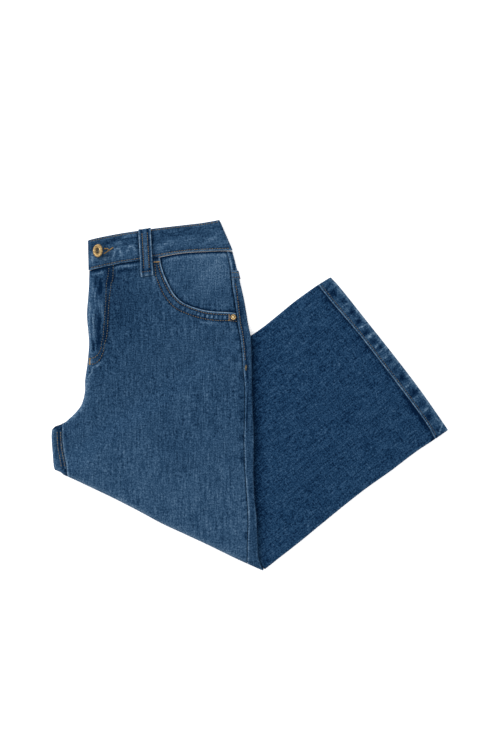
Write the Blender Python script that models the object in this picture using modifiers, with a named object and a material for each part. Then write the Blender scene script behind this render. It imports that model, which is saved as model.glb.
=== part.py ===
"""Flared jeans, folded in half down the centre and then across the thighs, lying flat.

Seen from above, the wearer's left half is on top. The waist is at +Y, the centre front fold is on
the -X side, and the lower legs come out from under the body towards +X, with their hems on the
right. Tables are in millimetres; the meshes are in metres.
"""

import math
from collections import namedtuple

import bpy
import numpy as np

MM = 0.001
NAME = "flared_jeans"

# Cloth, in millimetres
DENIM = 1.2  # one layer of cloth
GAP = 0.3  # between pieces that touch
TURNED = 2.1  # cloth folded over on itself, in the waistband and the hems
BODY_HEIGHT = 8.4  # four layers of the hips and thighs
LEGS_HEIGHT = 7.6  # four layers of the lower legs
HEM_RISE = 1.7  # the legs thicken towards their hems
HEM_RISE_LENGTH = 26.0
SIDE_TURN = 1.75  # a leg's edge: half the height of one flattened tube
SIDE_REACH = 2.8  # and how far in from the edge it starts to turn down
FOLD_REACH = 8.6  # the same for the fold across the thighs
FRONT_REACH = 5.0  # the same for the centre front fold
EDGE_SINK = 1.5  # the pile is thinner near its sides
EDGE_SINK_WIDTH = 13.0
RAMP_OUTSIDE = 20.0  # the body comes down from the lower legs to the floor
RAMP_INSIDE = 12.0
RIM_GAPS = (0.0, 0.25, 0.9, 1.8)  # where a wall's rows lie beside an edge that turns down
FOLD_GAPS = (8.6, 5.0, 2.2, 0.6, 0.0)  # and beside the fold across the thighs

# Seams and trims, in millimetres
SIDE_SEAM_GAP = 0.55
STRIP_WIDTH = 13.0  # the back panel that shows beside the side seam
POCKET_EDGE_WIDTH = 9.0
POCKET_EDGE_RISE = 0.5
POCKET_UNDERLAP = 5.0
POCKET_TUCK = 1.6  # how far the facing lies below the front panel's face at the opening
POCKET_LIFT = 0.9  # and how much of that it regains away from it
BAND_LAYER_GAP = 0.4
YOKE_BAND_TOP = 162.0
YOKE_BAND_FOOT = 151.0
YOKE_SEAM = 156.5
YOKE_TOP = 187.4
YOKE_BACK_JOIN = 107.0  # where the side seam's hip curve meets its thigh curve
BACK_TIP = -218.4
INSEAM_WIDTH = 6.2
INSEAM_SPAN = (0.08, 0.84)  # shares of the crotch strip's edge between which the felled seam runs
LEG_UNDER_BODY = 12.0  # how far the lower leg's panel runs in under the body
SHELF = 14.5  # how far the layers above it overhang
POCKET_DEPTH = 3.4  # the inner layers keep this far below the surface at the hips
HIP_FOOT = 88.0  # the hips are above this line

LOOP_WIDTH = 16.2
LOOP_THICKNESS = 2.0
BUTTON_TILT = math.radians(38)

Point = namedtuple("Point", "x y")
Swell = namedtuple("Swell", "x y angle length width height")

# Outlines seen from above. Each is listed the way it is walked.
CENTRE_FRONT = (
    Point(-208.3, 163.8), Point(-209.2, 137.2), Point(-211.5, 106.0), Point(-209.7, 82.6),
    Point(-208.8, 67.0), Point(-210.6, 43.6), Point(-213.9, 20.2), Point(-214.2, 4.6),
    Point(-218.3, -11.1), Point(-226.0, -22.0), Point(-237.9, -33.4),
)
CROTCH = (
    Point(-237.9, -33.4), Point(-246.5, -38.7), Point(-251.9, -40.4), Point(-256.1, -45.7),
    Point(-256.4, -58.0), Point(-255.1, -75.3), Point(-253.5, -91.8), Point(-251.2, -97.6),
)
THIGH_FOLD = (
    Point(-251.2, -97.6), Point(-245.4, -99.6), Point(-240.6, -103.4), Point(-229.8, -108.0),
    Point(-207.4, -118.5), Point(-176.2, -133.4), Point(-145.0, -149.4), Point(-113.8, -166.1),
    Point(-82.6, -180.6), Point(-51.4, -195.1), Point(-20.2, -210.4), Point(8.5, -223.5),
    Point(17.4, -227.4),
)
BODY_SIDE = (
    Point(17.4, -227.4), Point(14.6, -219.5), Point(11.4, -208.8), Point(10.5, -192.8),
    Point(9.1, -157.3), Point(5.9, -124.2), Point(5.2, -91.0), Point(5.9, -57.9), Point(4.6, -27.0),
    Point(3.3, 5.9), Point(3.0, 39.0), Point(1.8, 74.8), Point(-1.2, 90.4), Point(-7.0, 121.6),
    Point(-11.6, 143.0), Point(-15.2, 160.0), Point(-19.0, 175.0), Point(-22.4, 188.0),
)
WAIST_SEAM = (
    Point(-208.3, 163.8), Point(-199.0, 166.2), Point(-168.2, 173.0), Point(-124.3, 178.9),
    Point(-87.1, 185.2), Point(-46.4, 187.5), Point(-22.4, 188.0),
)
BAND_TOP = (
    Point(-209.0, 201.4), Point(-194.4, 205.7), Point(-165.9, 211.3), Point(-124.2, 217.4),
    Point(-82.6, 222.4), Point(-41.0, 228.2),
)
BAND_FOOT = (
    Point(-208.5, 164.3), Point(-199.0, 166.7), Point(-168.2, 173.5), Point(-124.3, 179.4),
    Point(-87.1, 185.7), Point(-46.4, 188.0), Point(-21.8, 188.6),
)
POCKET_OPENING = (
    Point(-116.4, 179.6), Point(-114.5, 168.5), Point(-111.3, 158.2), Point(-105.7, 145.6),
    Point(-97.9, 131.4), Point(-88.4, 121.9), Point(-78.1, 116.5), Point(-66.3, 112.6),
    Point(-54.5, 109.9), Point(-38.7, 108.6), Point(-24.6, 108.0), Point(-17.2, 106.6),
)
POCKET_WAIST = (
    Point(-121.0, 178.6), Point(-87.1, 184.6), Point(-46.4, 187.0), Point(-29.9, 187.4),
)
SIDE_SEAM_HIP = (
    Point(-29.9, 187.7), Point(-26.3, 173.7), Point(-24.3, 160.0), Point(-22.5, 141.4),
    Point(-19.8, 124.0), Point(-17.2, 106.6),
)
SIDE_SEAM_THIGH = (
    Point(-17.2, 106.6), Point(-15.4, 91.2), Point(-12.4, 74.6), Point(-10.0, 55.5),
    Point(-8.4, 32.4), Point(-6.5, 9.8), Point(-6.5, -13.7), Point(-7.3, -57.9),
    Point(-6.6, -91.0), Point(-4.4, -124.2), Point(-2.2, -157.3), Point(-2.8, -185.0),
    Point(-3.4, -218.3),
)
FRONT_INSEAM = (
    Point(-243.4, -38.3), Point(-243.0, -58.6), Point(-241.2, -73.6), Point(-237.6, -90.0),
    Point(-235.6, -105.6),
)
CROTCH_STRIP_TOP = (Point(-255.4, -44.6), Point(-243.4, -40.6))
LEG_INSEAM = (
    Point(-9.6, 70.0), Point(1.3, 77.4), Point(19.6, 90.4), Point(38.3, 106.0), Point(57.1, 121.6),
    Point(78.1, 137.2), Point(91.8, 146.6),
)
LEG_OUTSEAM = (
    Point(20.8, -222.8), Point(29.4, -217.2), Point(38.4, -210.2), Point(63.7, -190.5),
    Point(92.4, -167.0), Point(120.8, -143.7), Point(150.9, -120.2), Point(183.7, -96.9),
    Point(214.6, -73.4), Point(240.4, -56.2),
)
HEM_SEAM = (
    Point(91.8, 146.6), Point(108.0, 125.4), Point(147.0, 78.7), Point(194.7, 16.9),
    Point(229.5, -30.6), Point(240.4, -56.2),
)
HEM_EDGE = (
    Point(105.2, 153.8), Point(120.0, 137.2), Point(150.9, 98.2), Point(188.0, 51.4),
    Point(223.5, 4.6), Point(257.9, -44.9),
)
# Where the hidden lower legs start under the body
LEG_PILE_INSEAM = Point(-31.0, 50.0)
LEG_PILE_TIP = (
    Point(-20.0, -184.0), Point(2.0, -194.0), Point(16.0, -202.0), Point(25.4, -218.6),
)
# The end of the right leg's panel beside the body's tip
LEG_START_TIP = (
    Point(11.4, -199.5), Point(12.3, -206.0), Point(14.1, -214.0), Point(17.0, -219.5),
)
# The line under the body that the edge of the lower legs follows
LEG_LINE_START = Point(-249.0, -103.0)
LEG_LINE_END = Point(1.3, 77.4)

Turned = namedtuple("Turned", "radius height")
PathPoint = namedtuple("PathPoint", "run height")

LOOP_TOP = Point(-136.2, 216.2)
LOOP_SLANT = 0.75  # its ends slant with the waistband's edge
LOOP_FOOT = Point(-133.0, 159.1)
LOOP_PATH = (
    PathPoint(-2.2, 5.5), PathPoint(-2.2, 9.4), PathPoint(-0.9, 12.0), PathPoint(3.0, 12.6),
    PathPoint(13.0, 13.0), PathPoint(25.0, 13.2), PathPoint(35.0, 12.8), PathPoint(41.0, 12.2),
    PathPoint(46.0, 12.1), PathPoint(52.0, 12.0), PathPoint(56.0, 11.9), PathPoint(57.6, 11.3),
)
BUTTON_CENTRE = (-195.3, 187.5, 15.2)
BUTTON_ROWS = (
    Turned(0.0, 2.3), Turned(2.2, 2.0), Turned(3.4, 1.5), Turned(3.9, 2.6), Turned(5.4, 3.3),
    Turned(7.2, 3.0), Turned(8.4, 1.9), Turned(8.7, 1.1), Turned(8.4, 0.5), Turned(7.2, 0.2),
    Turned(3.4, 0.0), Turned(3.0, -2.6), Turned(0.0, -2.6),
)
RIVET_CENTRE = (-20.9, 101.7, 9.9)
RIVET_TILT = math.radians(20)
RIVET_ROWS = (
    Turned(0.0, 1.9), Turned(1.2, 1.6), Turned(1.7, 1.0), Turned(2.2, 1.2), Turned(3.4, 1.0),
    Turned(4.0, 0.4), Turned(3.9, 0.1), Turned(0.0, 0.0),
)

# Heights up the page of the rows across the body's right side, from the fold to the waist:
# close together where the body comes down from the lower legs
SIDE_ROWS = (
    -221.0, -213.0, -206.0, -199.0, -192.0, -176.0, -150.0, -115.0, -80.0, -45.0, -10.0, 20.0, 44.0,
    60.0, 68.0, 74.0, 79.0, 84.0, 90.0, 98.0, 110.0, 126.0, 142.0, 158.0, 174.0,
)

# Soft swells and hollows of the upper face: a row for each, with its middle, the direction of
# its long axis in degrees, its two half lengths and its height
SWELLS = (
    Swell(-168.0, 96.0, 78.0, 46.0, 9.0, -0.9),
    Swell(-186.0, 100.0, 82.0, 40.0, 6.0, 0.8),
    Swell(-120.0, 60.0, 12.0, 60.0, 13.0, 0.8),
    Swell(-90.0, 8.0, 18.0, 70.0, 12.0, -0.9),
    Swell(-150.0, -28.0, 32.0, 62.0, 12.0, 0.9),
    Swell(-60.0, -72.0, 24.0, 58.0, 14.0, 0.9),
    Swell(-110.0, -98.0, -10.0, 66.0, 12.0, -0.7),
    Swell(-40.0, -140.0, 70.0, 50.0, 14.0, -0.6),
)
LEG_SWELLS = (
    Swell(80.0, 60.0, 40.0, 60.0, 14.0, 0.7),
    Swell(90.0, -20.0, 36.0, 80.0, 16.0, -0.6),
    Swell(60.0, -120.0, 40.0, 70.0, 16.0, 0.6),
    Swell(165.0, -20.0, 42.0, 50.0, 14.0, 0.5),
)


# ---------------------------------------------------------------- curves and heights


def smooth(rows, step=3.0):
    """A dense curve through the rows, with a point about every `step`."""
    knots = np.array(rows, float)
    ends = np.vstack([2 * knots[0] - knots[1], knots, 2 * knots[-1] - knots[-2]])
    parts = []
    for before, start, end, after in zip(ends[:-3], ends[1:-2], ends[2:-1], ends[3:]):
        count = max(2, int(np.linalg.norm(end - start) / step))
        t = np.linspace(0, 1, count, endpoint=False)[:, None]
        bend = 2 * before - 5 * start + 4 * end - after
        twist = 3 * start - before - 3 * end + after
        parts.append(start + 0.5 * ((end - before) * t + bend * t**2 + twist * t**3))
    parts.append(knots[-1:])
    return np.vstack(parts)


def length_of(curve):
    """The curve's length."""
    return float(np.linalg.norm(np.diff(curve, axis=0), axis=1).sum())


def along(curve, shares):
    """The points at those shares of a curve's length."""
    steps = np.linalg.norm(np.diff(curve, axis=0), axis=1)
    walked = np.concatenate([[0.0], np.cumsum(steps)])
    at = np.asarray(shares, float) * walked[-1]
    return np.stack([np.interp(at, walked, curve[:, axis]) for axis in (0, 1)], axis=1)


def sideways(curve):
    """Unit vectors to the left of the walk along a curve."""
    ahead = np.gradient(curve, axis=0)
    ahead /= np.linalg.norm(ahead, axis=1)[:, None]
    return np.stack([-ahead[:, 1], ahead[:, 0]], axis=1)


def distance(points, curve):
    """How far each point is from a curve, seen from above."""
    start = curve[:-1]
    run = np.diff(curve, axis=0)
    off = points[:, None, :] - start[None]
    t = np.clip((off * run).sum(2) / (run * run).sum(1), 0, 1)
    return np.linalg.norm(off - t[..., None] * run, axis=2).min(axis=1)


def share_at(curve, point):
    """The share of a curve's length at which it passes nearest to a point."""
    nearest = int(np.linalg.norm(curve - np.asarray(point), axis=1).argmin())
    return length_of(curve[: nearest + 1]) / length_of(curve)


def share_at_height(curve, y):
    """The share of its length at which a curve that runs up the page reaches a height."""
    steps = np.linalg.norm(np.diff(curve, axis=0), axis=1)
    walked = np.concatenate([[0.0], np.cumsum(steps)])
    return np.interp(y, curve[:, 1], walked / walked[-1])


def lowest_near(points, height, radius):
    """The least of a height function at each point and at eight places round it."""
    lowest = height(points)
    for degrees in range(0, 360, 45):
        turn = math.radians(degrees)
        off = [radius * math.cos(turn), radius * math.sin(turn)]
        lowest = np.minimum(lowest, height(points + off))
    return lowest


def ease(value, low, high):
    """A smooth step from 0 at low to 1 at high."""
    t = np.clip((value - low) / (high - low), 0, 1)
    return t * t * (3 - 2 * t)


LEFT_SIDE = np.vstack([smooth(CENTRE_FRONT), smooth(CROTCH)[1:]])
FOLD = smooth(THIGH_FOLD)
RIGHT_SIDE = smooth(BODY_SIDE)
INSEAM_SIDE = smooth(LEG_INSEAM)
OUTSEAM_SIDE = smooth(LEG_OUTSEAM)


def swell_height(points, swells):
    """The sum of soft bumps, each the product of two bell curves across its axes."""
    total = np.zeros(len(points))
    for swell in swells:
        turn = math.radians(swell.angle)
        off = points - np.array([swell.x, swell.y])
        lengthwise = off[:, 0] * math.cos(turn) + off[:, 1] * math.sin(turn)
        across = off[:, 1] * math.cos(turn) - off[:, 0] * math.sin(turn)
        bell = np.exp(-((lengthwise / swell.length) ** 2) - (across / swell.width) ** 2)
        total += swell.height * bell
    return total


def over_legs(points):
    """How far each point is inside the hidden edge of the lower legs."""
    start = np.array(LEG_LINE_START)
    run = np.array(LEG_LINE_END) - start
    run /= np.linalg.norm(run)
    off = points - start
    return off[:, 1] * -run[0] + off[:, 0] * run[1]


def body_level(points):
    """Height of the body's upper face before its edges turn down."""
    level = BODY_HEIGHT + LEGS_HEIGHT * ease(over_legs(points), -RAMP_OUTSIDE, RAMP_INSIDE)
    for edge in (LEFT_SIDE, RIGHT_SIDE):
        level -= EDGE_SINK * np.exp(-((distance(points, edge) / EDGE_SINK_WIDTH) ** 2))
    return level + swell_height(points, SWELLS)


def turn_down(level, off, reach, drop):
    """Cloth that turns down over an edge: a quarter ellipse, `reach` wide and `drop` high."""
    t = np.clip(off / reach, 0, 1)
    return level - drop * (1 - np.sqrt(1 - (1 - t) ** 2))


def crotch_share(points):
    """0 beside the centre front fold, 1 beside the crotch."""
    return ease(-points[:, 1], 26.0, 40.0)


def body_face(points):
    """Height of the body's upper face with its edges turned down."""
    level = body_level(points)
    share = crotch_share(points)
    front_drop = (1 - share) * level / 2 + share * SIDE_TURN
    front_reach = (1 - share) * FRONT_REACH + share * SIDE_REACH
    front = turn_down(level, distance(points, LEFT_SIDE), front_reach, front_drop)
    side = turn_down(level, distance(points, RIGHT_SIDE), SIDE_REACH, SIDE_TURN)
    fold = turn_down(level, distance(points, FOLD), FOLD_REACH, level / 2)
    return np.minimum(np.minimum(front, side), fold)


def leg_level(points):
    """Height of the lower legs' upper face before its edges turn down."""
    near_hem = 1 - ease(distance(points, smooth(HEM_SEAM)), 0, HEM_RISE_LENGTH)
    away = ease(distance(points, RIGHT_SIDE), 8.0, 40.0)
    return LEGS_HEIGHT + HEM_RISE * near_hem + away * swell_height(points, LEG_SWELLS)


def leg_face(points):
    """Height of the lower legs' upper face with its edges turned down."""
    level = leg_level(points)
    drop = level / 4
    inseam = turn_down(level, distance(points, INSEAM_SIDE), SIDE_REACH, drop)
    outseam = turn_down(level, distance(points, OUTSEAM_SIDE), SIDE_REACH, drop)
    return np.minimum(inseam, outseam)


# ---------------------------------------------------------------- making objects


def linear(hex_colour):
    """A colour's linear values from its sRGB hex digits."""
    values = [int(hex_colour[i : i + 2], 16) / 255 for i in (0, 2, 4)]
    return [v / 12.92 if v <= 0.04045 else ((v + 0.055) / 1.055) ** 2.4 for v in values] + [1.0]


def material(name, hex_colour, roughness, metallic=0.0):
    """A plain material."""
    made = bpy.data.materials.new(name)
    made.use_nodes = True
    shader = made.node_tree.nodes["Principled BSDF"]
    shader.inputs["Base Color"].default_value = linear(hex_colour)
    shader.inputs["Roughness"].default_value = roughness
    shader.inputs["Metallic"].default_value = metallic
    return made


def add_object(name, mesh, finish, collection):
    """An object for a mesh, with a material of its own."""
    made = bpy.data.objects.new(name, mesh)
    made.data.materials.append(material(name + "_finish", *finish))
    collection.objects.link(made)
    return made


def grid_faces(rows, columns, closed=False):
    """Four-sided faces between neighbouring rows and columns; closed joins the last to the first."""
    index = np.arange(rows * columns).reshape(rows, columns)
    if closed:
        index = np.hstack([index, index[:, :1]])
    return np.stack([index[:-1, :-1], index[:-1, 1:], index[1:, 1:], index[1:, :-1]], axis=2)


def sheet(name, points, finish, collection, wall=DENIM, offset=-1.0, closed=False, flip=False):
    """A wall from a grid of outer points: an open surface with Solidify."""
    rows, columns = points.shape[:2]
    faces = grid_faces(rows, columns, closed).reshape(-1, 4)
    if flip:
        faces = faces[:, ::-1]
    mesh = bpy.data.meshes.new(name)
    mesh.from_pydata((points.reshape(-1, 3) * MM).tolist(), [], faces.tolist())
    made = add_object(name, mesh, finish, collection)
    solidify = made.modifiers.new("wall", "SOLIDIFY")
    solidify.thickness = wall * MM
    solidify.offset = offset
    solidify.use_even_offset = False
    mesh.shade_smooth()
    return made


def patch(top, foot, left, right, down, across):
    """Points between four edges, blended from them. `down` and `across` are shares of the way."""
    v = np.asarray(down, float)[:, None, None]
    u = np.asarray(across, float)[None, :, None]
    upper = along(top, across)[None]
    lower = along(foot, across)[None]
    sides = (1 - u) * along(left, down)[:, None] + u * along(right, down)[:, None]
    corners = (1 - v) * ((1 - u) * top[0] + u * top[-1]) + v * ((1 - u) * foot[0] + u * foot[-1])
    return (1 - v) * upper + v * lower + sides - corners


def raise_to(points, height, lift=0.0):
    """The points of a flat patch at the height that a function gives, moved up by `lift`."""
    flat = points.reshape(-1, 2)
    z = height(flat) + lift
    return np.concatenate([flat, z[:, None]], axis=1).reshape(points.shape[:-1] + (3,))


def move_out(points, lift):
    """A grid of outer points moved out from itself, along its own normals."""
    down = np.gradient(points, axis=0)
    across = np.gradient(points, axis=1)
    normals = np.cross(down, across)
    normals *= np.sign(normals[..., 2:].sum())
    normals /= np.linalg.norm(normals, axis=2)[..., None]
    return points + normals * lift


def wrap_fold(points, turns=(25, 50, 75, 90), reach=FOLD_REACH):
    """The grid continued round the thigh fold, from its outermost line down to the floor."""
    last = points[-1]
    start = along(FOLD, [0.1])[0]
    run = along(FOLD, [0.95])[0] - start
    run /= np.linalg.norm(run)
    inward = np.array([-run[1], run[0]])
    rows = [points]
    for degrees in turns:
        turn = math.radians(degrees)
        flat = last[:, :2] + inward * reach * (1 - math.cos(turn))
        z = last[:, 2] * (1 - math.sin(turn))
        rows.append(np.concatenate([flat, z[:, None]], axis=1)[None])
    return np.vstack(rows)


def shares_near_ends(count, start_gaps=(), end_gaps=(), length=1.0):
    """Shares of the way across, evenly spaced but with rows at those distances from the ends."""
    low = [gap / length for gap in start_gaps]
    high = [1 - gap / length for gap in end_gaps]
    middle = np.linspace(low[-1] if low else 0, high[0] if high else 1, count)
    return np.concatenate([low[:-1], middle, high[1:]])


DENIM_LIGHT = ("38577c", 0.9)
DENIM_DARK = ("2b4a70", 0.9)
DENIM_WORN = ("45648a", 0.9)
BRASS = ("c9a15a", 0.3, 1.0)


# ---------------------------------------------------------------- panels


def front_left_points():
    """The left front panel's outer points, from the waist and pocket to the fold."""
    across = shares_near_ends(18, RIM_GAPS + (5.0,), (6.0, 0), 230.0)
    down = shares_near_ends(22, (0, 4.0, 9.0), FOLD_GAPS, 300.0)
    waist = smooth([point for point in WAIST_SEAM if point.x < -120] + [Point(-117.0, 179.7)])
    top = np.vstack([waist, smooth(POCKET_OPENING)[1:]])
    pocket_corner = np.linalg.norm(top - np.array(POCKET_OPENING[0]), axis=1).argmin()
    top = top[np.arange(len(top)) != pocket_corner]
    left = np.vstack([smooth(CENTRE_FRONT), smooth(FRONT_INSEAM)])
    right = smooth(SIDE_SEAM_THIGH) - [GAP / 2, 0]
    foot = along(FOLD, np.linspace(share_at(FOLD, left[-1]), share_at(FOLD, right[-1]), 60))
    left[-1] = foot[0]
    right[-1] = foot[-1]
    flat = patch(top, foot, left, right, down, across)
    grid = raise_to(flat, body_face)
    pocket = distance(flat.reshape(-1, 2), smooth(POCKET_OPENING)).reshape(flat.shape[:2])
    grid[..., 2] += POCKET_EDGE_RISE * (1 - ease(pocket, POCKET_EDGE_WIDTH - 2, POCKET_EDGE_WIDTH + 3))
    return grid


def make_front_left(collection):
    """The left front panel with its part of the thigh fold."""
    sheet("front_left", wrap_fold(front_left_points()), DENIM_LIGHT, collection, flip=True)


def make_pocket_facing(collection):
    """The hip panel inside the pocket opening, tucked in under the front panel."""
    opening = smooth(POCKET_OPENING)
    under = opening - POCKET_UNDERLAP * sideways(opening)
    seam = smooth(SIDE_SEAM_HIP) - [GAP / 2, 0]
    waist = smooth(POCKET_WAIST)
    under[0] = waist[0]
    foot = along(under, np.linspace(0.45, 1, 30))
    left = along(under, np.linspace(0, 0.45, 30))
    right = np.vstack([seam[seam[:, 1] > foot[-1, 1] + 1], foot[-1:]])
    flat = patch(waist, foot, left, right, np.linspace(0, 1, 10), np.linspace(0, 1, 10))
    inside = distance(flat.reshape(-1, 2), under).reshape(flat.shape[:2])
    grid = raise_to(flat, body_face)
    lift = POCKET_LIFT * ease(inside, POCKET_UNDERLAP + 3, POCKET_UNDERLAP + 22)
    grid[..., 2] -= POCKET_TUCK - lift
    sheet("pocket_facing_left", grid, DENIM_LIGHT, collection, flip=True)


def strip_shares():
    """Shares of the way over a strip beside the body's right edge."""
    return 1 - np.array([STRIP_WIDTH, 0.45 * STRIP_WIDTH] + list(RIM_GAPS[::-1])) / STRIP_WIDTH


def side_strip(high, low, down, across):
    """A patch from the side seam to the body's right edge, between two heights up the page."""
    seam = np.vstack([smooth(SIDE_SEAM_HIP), smooth(SIDE_SEAM_THIGH)[1:]])
    edge = RIGHT_SIDE[::-1]
    left = clip_height(seam, high, low) + [GAP / 2, 0]
    right = clip_height(edge, high, low)
    top = np.linspace(left[0], right[0], 8)
    foot = np.linspace(left[-1], right[-1], 8)
    return patch(top, foot, left, right, down, across)


def clip_height(curve, high, low):
    """The stretch of a curve that is walked down the page, between two heights."""
    y = curve[:, 1]
    ends = [[np.interp(-level, -y, curve[:, 0]), level] for level in (high, low)]
    inner = curve[(y < high - 0.5) & (y > low + 0.5)]
    return np.vstack([ends[:1], inner, ends[1:]])


def make_back_left(collection):
    """The strips of yoke and back panel that come round from behind the side seam."""
    yoke = side_strip(YOKE_TOP, YOKE_SEAM + GAP / 2, np.linspace(0, 1, 6), strip_shares())
    sheet("yoke_left", raise_to(yoke, body_face), DENIM_WORN, collection, flip=True)

    seam = clip_height(smooth(SIDE_SEAM_THIGH), YOKE_BACK_JOIN - 1, BACK_TIP)
    seam = np.vstack([clip_height(smooth(SIDE_SEAM_HIP), YOKE_SEAM - GAP / 2, YOKE_BACK_JOIN), seam])
    left = seam + [SIDE_SEAM_GAP, 0]
    right = clip_height(RIGHT_SIDE[::-1], YOKE_SEAM - GAP / 2, BODY_SIDE[0].y)
    start = share_at(FOLD, left[-1]) + GAP / length_of(FOLD)
    foot = along(FOLD, np.linspace(start, 1, 12))
    left[-1] = foot[0]
    right[-1] = foot[-1]
    top = np.linspace(left[0], right[0], 8)
    rows = [share_at_height(right[::-1], y) for y in SIDE_ROWS if -195 < y < YOKE_SEAM - 4]
    fold_rows = [gap / length_of(right) for gap in FOLD_GAPS]
    down = 1 - np.array([1.0] + rows[::-1] + fold_rows)
    flat = patch(top, foot, left, right, down, strip_shares())
    grid = wrap_fold(raise_to(flat, body_face))
    sheet("back_left", grid, DENIM_WORN, collection, flip=True)

    band = side_strip(YOKE_BAND_TOP, YOKE_BAND_FOOT, np.linspace(0, 1, 4), strip_shares())
    band_grid = move_out(raise_to(band, body_face), DENIM + GAP)
    sheet("yoke_seam_left", band_grid, DENIM_WORN, collection, flip=True)


def make_crotch(collection):
    """The back panel that shows beyond the inseam at the crotch, and the felled seam on it."""
    right = smooth(CROTCH_STRIP_TOP[-1:] + FRONT_INSEAM[1:]) - [SIDE_SEAM_GAP, 0]
    left = smooth(CROTCH_STRIP_TOP[:1] + CROTCH[3:])
    foot = along(FOLD, np.linspace(0, share_at(FOLD, right[-1]) - GAP / length_of(FOLD), 12))
    right[-1] = foot[-1]
    top = np.linspace(left[0], right[0], 6)
    down = shares_near_ends(9, (0,), (8.0, 4.6, 2.2, 0.6, 0), 62.0)
    across = np.append(np.array(RIM_GAPS + (4.0, 8.0)) / STRIP_WIDTH, 1.0)
    flat = patch(top, foot, left, right, down, across)
    grid = wrap_fold(raise_to(flat, body_face))
    sheet("back_left_crotch", grid, DENIM_WORN, collection, flip=True)

    seam_right = along(right - [GAP, 0], np.linspace(*INSEAM_SPAN, 20))
    seam_left = seam_right - [INSEAM_WIDTH, 0]
    ends = [np.linspace(seam_left[i], seam_right[i], 4) for i in (0, -1)]
    flat = patch(*ends, seam_left, seam_right, np.linspace(0, 1, 9), np.linspace(0, 1, 4))
    grid = move_out(raise_to(flat, body_face), DENIM + GAP + 0.1)
    sheet("inseam_left", grid, DENIM_DARK, collection, flip=True)


def make_front_right(collection):
    """The right front panel's lower leg, which runs out from under the body."""
    edge = RIGHT_SIDE[::-1] - [LEG_UNDER_BODY, 0]
    edge = edge[(edge[:, 1] < 66.0) & (edge[:, 1] > -190.0)]
    left = np.vstack([INSEAM_SIDE[:1], edge, LEG_START_TIP, OUTSEAM_SIDE[:1]])
    across = shares_near_ends(13, RIM_GAPS + (3.0,), (3.0,) + RIM_GAPS[::-1], 260.0)
    down = shares_near_ends(13, (0,), (10.0, 0), 300.0)
    flat = patch(left, smooth(HEM_SEAM), INSEAM_SIDE, OUTSEAM_SIDE, down, across)
    sheet("front_right", raise_to(flat, leg_face), DENIM_DARK, collection)


# ---------------------------------------------------------------- folded bands


def half_turn(centre, height, radius, side, rise, count=6):
    """Points round a half circle that bulges to one side, walked up or down."""
    angles = np.radians(np.linspace(-90, 90, count))
    points = [centre + side * radius * np.cos(angles), height + rise * radius * np.sin(angles)]
    return np.stack(points, axis=1)


def straight(start, end, height, count=12):
    """Points along a level stretch of a folded path."""
    return np.stack([np.linspace(start, end, count), np.full(count, height)], axis=1)


def folded_strip(name, path, wide, foot, top, finish, collection, rows=4, base=0.0):
    """A closed strip of turned cloth: its path is in (distance along, height), laid between two curves."""
    share = np.clip(path[:, 0] / wide, -0.2, 1.2)
    lower = extend(foot, share)
    upper = extend(top, share)
    grid = []
    for v in np.linspace(0, 1, rows):
        flat = (1 - v) * lower + v * upper
        grid.append(np.concatenate([flat, path[:, 1:] + base], axis=1))
    return sheet(name, np.array(grid), finish, collection, TURNED, 0.0, closed=True, flip=False)


def extend(curve, shares):
    """Points along a curve, carried straight on past its ends."""
    inside = along(curve, np.clip(shares, 0, 1))
    size = length_of(curve)
    before = (curve[0] - curve[1]) / np.linalg.norm(curve[0] - curve[1])
    after = (curve[-1] - curve[-2]) / np.linalg.norm(curve[-1] - curve[-2])
    inside += before * np.clip(-shares, 0, None)[:, None] * size
    inside += after * np.clip(shares - 1, 0, None)[:, None] * size
    return inside


def make_waistband(collection):
    """The waistband: one ring of turned cloth, folded double in its length, so four layers lie up."""
    pitch = TURNED + BAND_LAYER_GAP
    levels = [TURNED / 2 + pitch * layer for layer in range(4)]
    small = pitch / 2
    large = (levels[3] - levels[0]) / 2
    outer = TURNED / 2
    wide = length_of(smooth(BAND_FOOT))
    left_end = large + outer
    right_end = wide - small - outer
    inner_end = left_end + small
    path = np.vstack([
        straight(left_end, right_end, levels[3])[:-1],
        half_turn(right_end, levels[3] - small, small, 1, -1),
        straight(right_end, inner_end, levels[2])[1:-1],
        half_turn(inner_end, levels[2] - small, small, -1, -1),
        straight(inner_end, right_end, levels[1])[1:-1],
        half_turn(right_end, levels[1] - small, small, 1, -1),
        straight(right_end, left_end, levels[0])[1:-1],
        half_turn(left_end, levels[0] + large, large, -1, 1, 9)[:-1],
    ])
    folded_strip("waistband", path, wide, smooth(BAND_FOOT), smooth(BAND_TOP), DENIM_LIGHT, collection)


def make_hems(collection):
    """The turned hems: two flattened rings, the right leg's on the left leg's."""
    pitch = TURNED + BAND_LAYER_GAP
    small = pitch / 2
    foot = smooth(HEM_SEAM) + hem_gap()
    top = smooth(HEM_EDGE)
    wide = length_of(top)
    near = small + TURNED / 2
    far = wide - near
    low, high = TURNED / 2, TURNED / 2 + pitch
    path = np.vstack([
        straight(near, far, high)[:-1],
        half_turn(far, low + small, small, 1, -1),
        straight(far, near, low)[1:-1],
        half_turn(near, low + small, small, -1, 1)[:-1],
    ])
    for name, base in (("hem_left", 0.0), ("hem_right", 2 * pitch)):
        folded_strip(name, path, wide, foot, top, DENIM_DARK, collection, 3, base)


def hem_gap():
    """How the hems' inner edge is moved clear of the leg panel."""
    hem = smooth(HEM_SEAM)
    out = (smooth(HEM_EDGE)[-1] - hem[-1]) + (smooth(HEM_EDGE)[0] - hem[0])
    return out / np.linalg.norm(out) * GAP * 3


# ---------------------------------------------------------------- hidden layers


INNER = DENIM + GAP + 0.15  # how far the hidden layers stay inside a panel's outer face
EDGE_INNER = INNER + 0.5  # and how far at its edges
UPPER_TURNS = (30, 60, 84)  # degrees round the edge, under a panel that ends half way down it
LOWER_TURNS = (20, 42, 62, 78)
RING_COUNT = 14


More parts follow.
